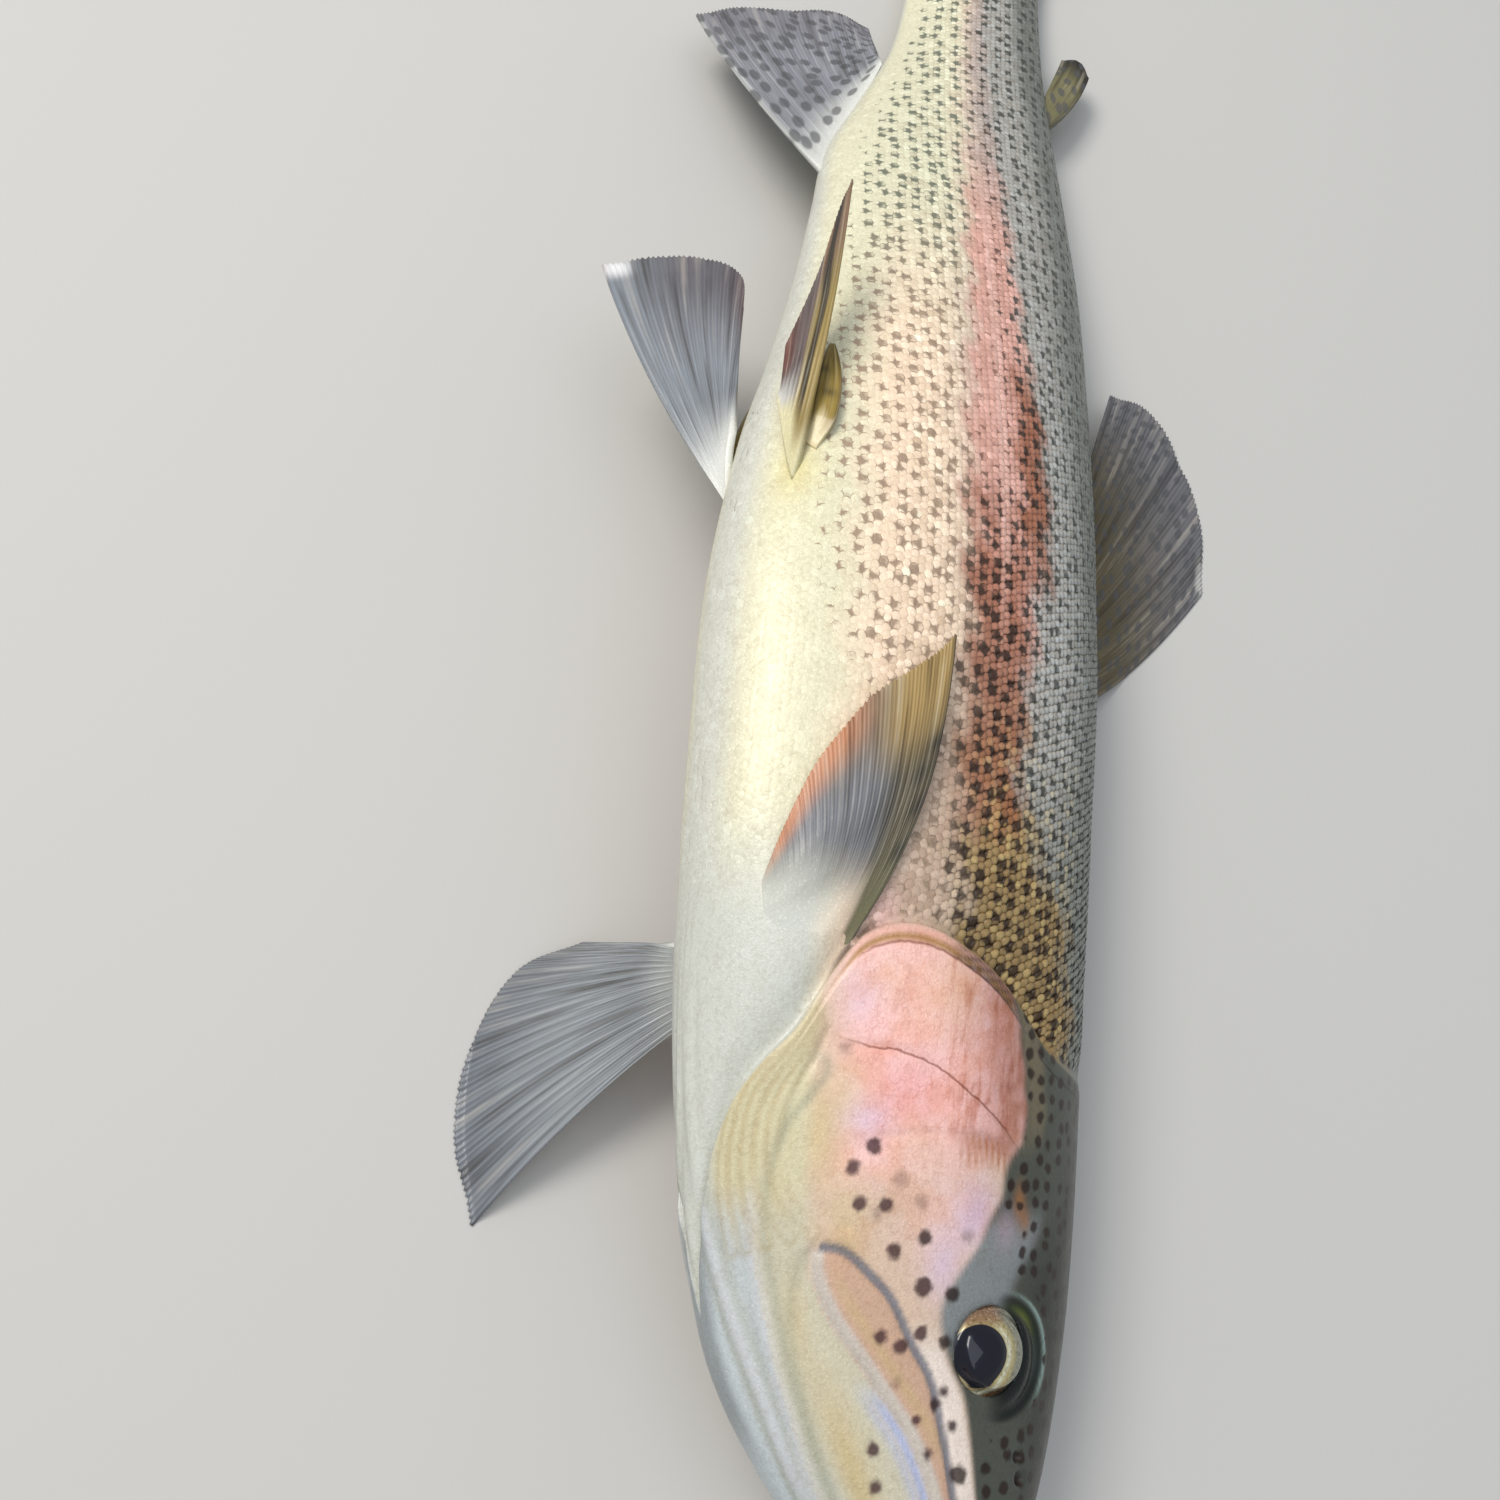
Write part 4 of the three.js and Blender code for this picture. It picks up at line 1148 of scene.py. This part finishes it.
def fin(name, sheet, thick, rays, paint, clear, node, bare=0.04, short=0.0):
    """One fin: a closed thin sheet with rays standing out on both faces past its bare root."""
    rows, across = 72, max(60, rays * 13)
    around = 2 * across + 2

    def grid(row, column):
        s = np.clip((row - 1) / rows, 0, 1)
        k = column % around
        top = k <= across
        c = np.where(top, k, around - 1 - k) / across
        return s, c, top, (row == 0) | (row == rows + 2)

    def past_root(s, c):
        return smooth(bare, bare + 0.3, s * (1 - short * c))

    def points(row, column):
        s, c, top, closed = grid(row, column)
        e = 1e-3
        fray = (rays > 0) * (1 - ray_relief(np.ones_like(c), c, rays))
        fray = fray + 0.8 * np.abs(np.sin(7.3 * c + 1)) ** 6
        reach = s * (1 - 0.012 * fray * smooth(0.85, 1, s))
        middle = sheet(reach, c)
        ds = sheet(np.minimum(1, reach + e), c) - sheet(np.maximum(0, reach - e), c)
        dc = sheet(reach, np.minimum(1, c + e)) - sheet(reach, np.maximum(0, c - e))
        normal = unit(np.cross(ds, dc))
        relief = ray_relief(s, c, rays)
        bones = 0.85 + 0.15 * np.cos(s * 190) * smooth(0.25, 0.5, s)
        web = 0.42 * (rays > 0) * (1 - relief * bones) * past_root(s, c)
        half = thinned(thick, s) * (1 - web)
        middle[..., 2] = np.maximum(middle[..., 2], half + 0.05)
        point = middle + normal * (np.where(top, half, -half) * ~closed)[..., None]
        point[..., 2] = np.maximum(point[..., 2], 0.05)
        return ORIGIN + MM * point

    def fields(row, column):
        s, c, _, _ = grid(row, column)
        relief = ray_relief(s, c, rays)
        span = np.linalg.norm(sheet(np.ones(1), np.ones(1) / 2) - sheet(np.zeros(1), np.ones(1) / 2))
        width = np.linalg.norm(sheet(np.ones(1), np.zeros(1)) - sheet(np.ones(1), np.ones(1)))
        where = np.stack([s * span, c * width * (0.35 + 0.65 * s), np.full_like(s, 0.5)], -1)
        tone, size = paint(s, c)
        drawn = past_root(s, c)
        strand = np.stack([1.4 * s, 1.7 * c * max(rays, 4), 0 * s], -1)
        return {"paint": tone, "spotting": size, "web": clear * (1 - relief) * drawn, "where": where,
                "comb": c * max(rays, 1), "strand": strand, "drawn": drawn}

    def bake(row, column):
        pole = 0.02 * ((row > rows + 1) * 1.0 - (row < 1))
        return np.stack([np.clip((row - 1) / rows, 0, 1) * 0.9 + 0.05 + pole, column / around], -1)

    piece = lattice(name, rows + 2, around, points, fields, bake)
    piece.data.materials.append(web_finish)
    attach(piece, "root")
    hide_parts(node)


def fin_finish():
    """Fin web: painted tone, fine strands along the rays, drawn-out spots, thin web let through."""
    material, wire = finish("fin_web")
    where = wire.kept("where", "Vector")
    mottle = wire.noise(where, 0.25, 5.0)
    strands = wire.noise(wire.kept("strand", "Vector"), 1.0, 5.0)
    cells = wire.cells(where.stretched((0.6, 1.0, 1.0)), 1 / FIN_SPOT_PITCH, 0.6)
    spotting = wire.kept("spotting")
    spotted = (spotting * (0.24 + 0.2 * mottle) - cells).ease(-0.08, 0.08) * spotting.ease(0.05, 0.3)
    comb = wire.make("ShaderNodeMath", {"operation": "SINE"}, {0: wire.kept("comb") * (8 * np.pi)})
    drawn = wire.kept("drawn")
    grain = wire.noise(wire.make("ShaderNodeTexCoord", output="Object"), GRAIN, 2.0).ease(0.52, 0.75)
    tone = wire.kept("paint", "Color").layered(
        ("MULTIPLY", 0.28 * drawn * comb.ease(0.1, 1.0), (0.42, 0.40, 0.40)),
        ("MULTIPLY", 0.8 * drawn * strands.ease(0.48, 0.68), (0.38, 0.34, 0.30)),
        ("SCREEN", 0.45 * drawn * strands.ease(0.47, 0.3), (0.40, 0.36, 0.28)),
        ("MULTIPLY", 0.35 * mottle, (0.62, 0.56, 0.52)),
        ("MIX", 0.7 * spotted, colour("#494a4c")),
        ("MULTIPLY", 0.4 * grain * (1 - drawn), SILVER),
    )
    height = 0.4 * comb * drawn + mottle + 0.8 * strands * drawn
    normal = wire.make("ShaderNodeBump", None, {"Strength": 0.35, "Distance": 0.0003, "Height": height})
    wire.surface({
        "Base Color": tone, "Roughness": 0.3 + 0.2 * mottle, "Alpha": 1 - wire.kept("web"), "Normal": normal,
        "Specular IOR Level": 0.3, "Coat Weight": 0.3, "Coat Roughness": 0.15,
    })
    return material


web_finish = fin_finish()
FIN_GREY, FIN_BLUE, FIN_DARK = colour("#85868c"), colour("#8b939b"), colour("#4a453a")
FIN_OLIVE, FIN_TAN = colour("#77693f"), colour("#b59860")
FIN_WHITE, FIN_MAROON, FIN_GOLD = colour("#dfe1da"), colour("#76463c"), colour("#a08a4c")


def paint_dorsal(s, c):
    tone = wash(
        FIN_OLIVE * 0.6,
        (FIN_GREY * 0.6, smooth(0.2, 1, s)),
        (FIN_WHITE, 0.5 * smooth(0.93, 0.98, s) * smooth(0.2, 0.1, c)),
    )
    return tone, 0 * s + 0.8


def paint_adipose(s, c):
    tone = wash("#75714f", (FIN_DARK * 0.4, smooth(0.6, 1.0, s) + 0.6 * smooth(0.2, 0, c)))
    return tone, 0 * s + 0.8


def paint_caudal(s, c):
    tone = wash(
        "#a3a088",
        (FIN_OLIVE * 0.9, smooth(0.02, 0.2, s)),
        (FIN_GREY * 0.8, 0.7 * smooth(0.2, 0.9, s)),
    )
    return tone, 0.8 * smooth(0.0, 0.12, s)


def paint_anal(s, c):
    tone = wash(
        FIN_WHITE,
        ("#8f929b", 0.95 * smooth(0.02, 0.3, s)),
        ("#7c7a82", 0.7 * smooth(0.45, 1, s)),
        (FIN_WHITE, 0.6 * smooth(0.05, 0.0, c)),
    )
    return tone, 0.9 * smooth(0.03, 0.15, s)


def paint_pelvic_right(s, c):
    tone = wash(
        "#8f7d4e",
        (FIN_GOLD, bell(s - 0.4, 0.25)),
        ("#8c6f55", smooth(0.6, 0.85, s)),
        ("#1b160f", 0.9 * between(0.2, 0.36, 0.04, c + 0.03 * np.sin(14 * s)) * smooth(0.1, 0.25, s)),
        ("#c9c2a8", 0.7 * bell(c - 0.42, 0.025) * between(0.15, 0.75, 0.1, s)),
        ("#6a5c5a", smooth(0.44, 0.52, c)),
        (FIN_MAROON, 0.85 * smooth(0.7, 0.94, c) * smooth(0.25, 0.6, s)),
        (FIN_WHITE, 0.8 * smooth(0.45, 0.1, s) * smooth(0.4, 0.6, c)),
        ("#d9d2a8", 0.95 * smooth(0.2, 0.06, s + 0.05 * np.sin(9 * c))),
    )
    return tone, 0 * s


def paint_pelvic_left(s, c):
    tone = wash(
        FIN_WHITE,
        ("#878f98", smooth(0.0, 0.35, s) * 0.95),
        ("#5f5a60", 0.85 * smooth(0.4, 0.95, s) * smooth(0.0, 0.4, c)),
        ("#6a4a4a", 0.6 * smooth(0.55, 0.9, s) * smooth(0.55, 0.9, c)),
        (np.ones(3), 0.9 * smooth(0.9, 0.97, s) * smooth(0.16, 0.08, c)),
    )
    return tone, 0 * s


def paint_pectoral_left(s, c):
    tone = wash(
        FIN_WHITE,
        (FIN_BLUE, smooth(0.0, 0.3, s) * 0.85),
        ("#6d737c", 0.7 * smooth(0.5, 1, s)),
    )
    return tone, 0 * s


def paint_pectoral_right(s, c):
    reach = s * (1 - 0.85 * c)
    tone = wash(
        "#5d5540",
        ("#777a80", 0.95 * smooth(0.2, 0.42, c + 0.1 * (1 - s))),
        (FIN_TAN, 0.95 * smooth(0.58, 0.86, s) * smooth(0.46, 0.22, c)),
        ("#8f7a5c", 0.6 * smooth(0.6, 0.95, s) * between(0.3, 0.6, 0.1, c)),
        ("#cf8a5e", 0.85 * smooth(0.72, 0.95, s) * between(0.42, 0.95, 0.12, c)),
        ("#7d7a5c", 0.8 * smooth(0.5, 0.15, s) * smooth(0.3, 0.08, c)),
    )
    p = spanned(FLANK_FIN[0], FLANK_FIN[1], s, c)
    hide_paint = markings(p[..., 0], belly_turn(p), p[..., 1])["paint"]
    tone = wash(tone, (hide_paint, 1 - smooth(0.06, 0.3, reach + 0.3 * smooth(0.22, 0.04, c))))
    edge_blots = ((0.34, 0.06), (0.47, 0.05), (0.58, 0.09), (0.66, 0.04))
    blots = sum(patch(s, c, spot, (0.035, 0.05)) for spot in edge_blots)
    blots = blots + 0.5 * patch(s, c, (0.5, 0.3), (0.08, 0.07)) + 0.4 * patch(s, c, (0.42, 0.45), (0.1, 0.08))
    return wash(tone, (FIN_DARK * 0.4, 0.75 * smooth(0.03, 0.0, c) + 0.75 * blots)), 0 * s


def still(s, c):
    return 0 * s


def waved(s, c):
    return 0.5 * np.sin(9 * c + 2 * s) * smooth(0.15, 0.7, s)


# Each fin's colours, and how clear its web is between the rays.
FIN_PAINT = {
    "dorsal_fin": (paint_dorsal, 0.1), "adipose_fin": (paint_adipose, 0.0),
    "caudal_fin": (paint_caudal, 0.05), "anal_fin": (paint_anal, 0.2),
    "pelvic_fin_right": (paint_pelvic_right, 0.0), "pelvic_fin_left": (paint_pelvic_left, 0.25),
    "pectoral_fin_left": (paint_pectoral_left, 0.35),
}
for name, (root, margin, bow, inset, thick, rays) in FREE_FINS.items():
    paint, clear = FIN_PAINT[name]
    fold = still if name in ("caudal_fin", "adipose_fin") else waved
    fin(name + "_web", free_sheet(root, margin, bow, inset, fold), thick, rays, paint, clear, name)
root, margin, lift, bow, thick, rays = FLANK_FIN
fin("pectoral_fin_right_web", flank_sheet(root, margin, lift, bow, thick), thick, rays,
    paint_pectoral_right, 0.0, "pectoral_fin_right", bare=0.12, short=0.84)

# ---------------------------------------------------------------------------
# Pelvic lobes: a pointed flap of skin and small scales above each pelvic fin's
# root, golden with darker edges. It is thick at the base and lies on the flank.
# ---------------------------------------------------------------------------
LOBE_ROOT, LOBE_MARGIN = [(214, -41.4), (216, -43.6)], [(241, -38.8), (241, -39.6)]


def lobe_sheet(side):
    def sheet(s, c):
        p = spanned(LOBE_ROOT, LOBE_MARGIN, s, c)
        p[..., 1] += 1.4 * 4 * s * (1 - s) * (1 - 2 * c)
        height = -1.5 + 3.2 * smooth(0, 0.25, s)
        return place(p[..., 0], p[..., 1], side * (flank(p[..., 0], p[..., 1]) + height))
    return sheet


def paint_lobe(s, c):
    tone = wash(
        "#9a8440",
        ("#4a3c22", 0.6 * smooth(0.16, 0.02, c)),
        ("#6b5d33", 0.6 * smooth(0.55, 1.0, c)),
        ("#2e2618",
         0.6 * patch(s, c, (0.45, 0.4), (0.05, 0.25)) + 0.6 * patch(s, c, (0.7, 0.7), (0.05, 0.2))),
        ("#dccfa4", 0.95 * smooth(0.3, 0.08, s + 0.06 * np.sin(9 * c))),
    )
    return tone, 0 * s


for name, side in (("right", 1), ("left", -1)):
    fin("lobe_" + name, lobe_sheet(side), (1.7, 1.0), 0, paint_lobe, 0.0, "pelvic_lobe_" + name)

# ---------------------------------------------------------------------------
# Camera, floor and light: a hand-held view from above the head toward the tail,
# a plain pale floor, and soft light from wide lamps over the belly side and above.
# ---------------------------------------------------------------------------
lens = bpy.data.cameras.new("camera")
lens.lens = 37.8
lens.sensor_width = 36
lens.clip_start = 0.01
camera = bpy.data.objects.new("camera", lens)
camera.location = ORIGIN + MM * np.array([-55, -75, 333])
camera.rotation_euler = Euler(np.radians((20.0, -8.8, 91.4)), "XYZ")
bpy.context.scene.collection.objects.link(camera)
bpy.context.scene.camera = camera
bpy.context.scene.view_settings.view_transform = "Standard"

mesh = bpy.data.meshes.new("floor")
shape = bmesh.new()
bmesh.ops.create_grid(shape, x_segments=1, y_segments=1, size=4)
shape.to_mesh(mesh)
shape.free()
floor = bpy.data.objects.new("floor", mesh)
floor.location = (0, 0, -0.0002)
bpy.context.scene.collection.objects.link(floor)
material, wire = finish("pale_floor")
wire.surface({"Base Color": (*colour("#bdbcb8"), 1), "Roughness": 0.75})
mesh.materials.append(material)

world = bpy.data.worlds.new("studio")
world.use_nodes = True
world.node_tree.nodes["Background"].inputs["Color"].default_value = (*colour("#e6ebf0"), 1)
world.node_tree.nodes["Background"].inputs["Strength"].default_value = 0.55
bpy.context.scene.world = world


def softbox(name, at, aim, size, watts, tint):
    lamp = bpy.data.lights.new(name, "AREA")
    lamp.shape = "RECTANGLE"
    lamp.size, lamp.size_y = size
    lamp.energy = watts
    lamp.color = colour(tint)
    lamp_object = bpy.data.objects.new(name, lamp)
    lamp_object.location = at
    direction = Vector(aim) - lamp_object.location
    lamp_object.rotation_euler = direction.to_track_quat("-Z", "Y").to_euler()
    bpy.context.scene.collection.objects.link(lamp_object)


softbox("key", (-0.4, -0.75, 1.3), (0.0, 0.0, 0.03), (0.8, 0.6), 17, "#fff9f2")
softbox("top", (0.1, -0.1, 1.6), (0.0, 0.0, 0.03), (1.7, 1.3), 9, "#eef3ff")
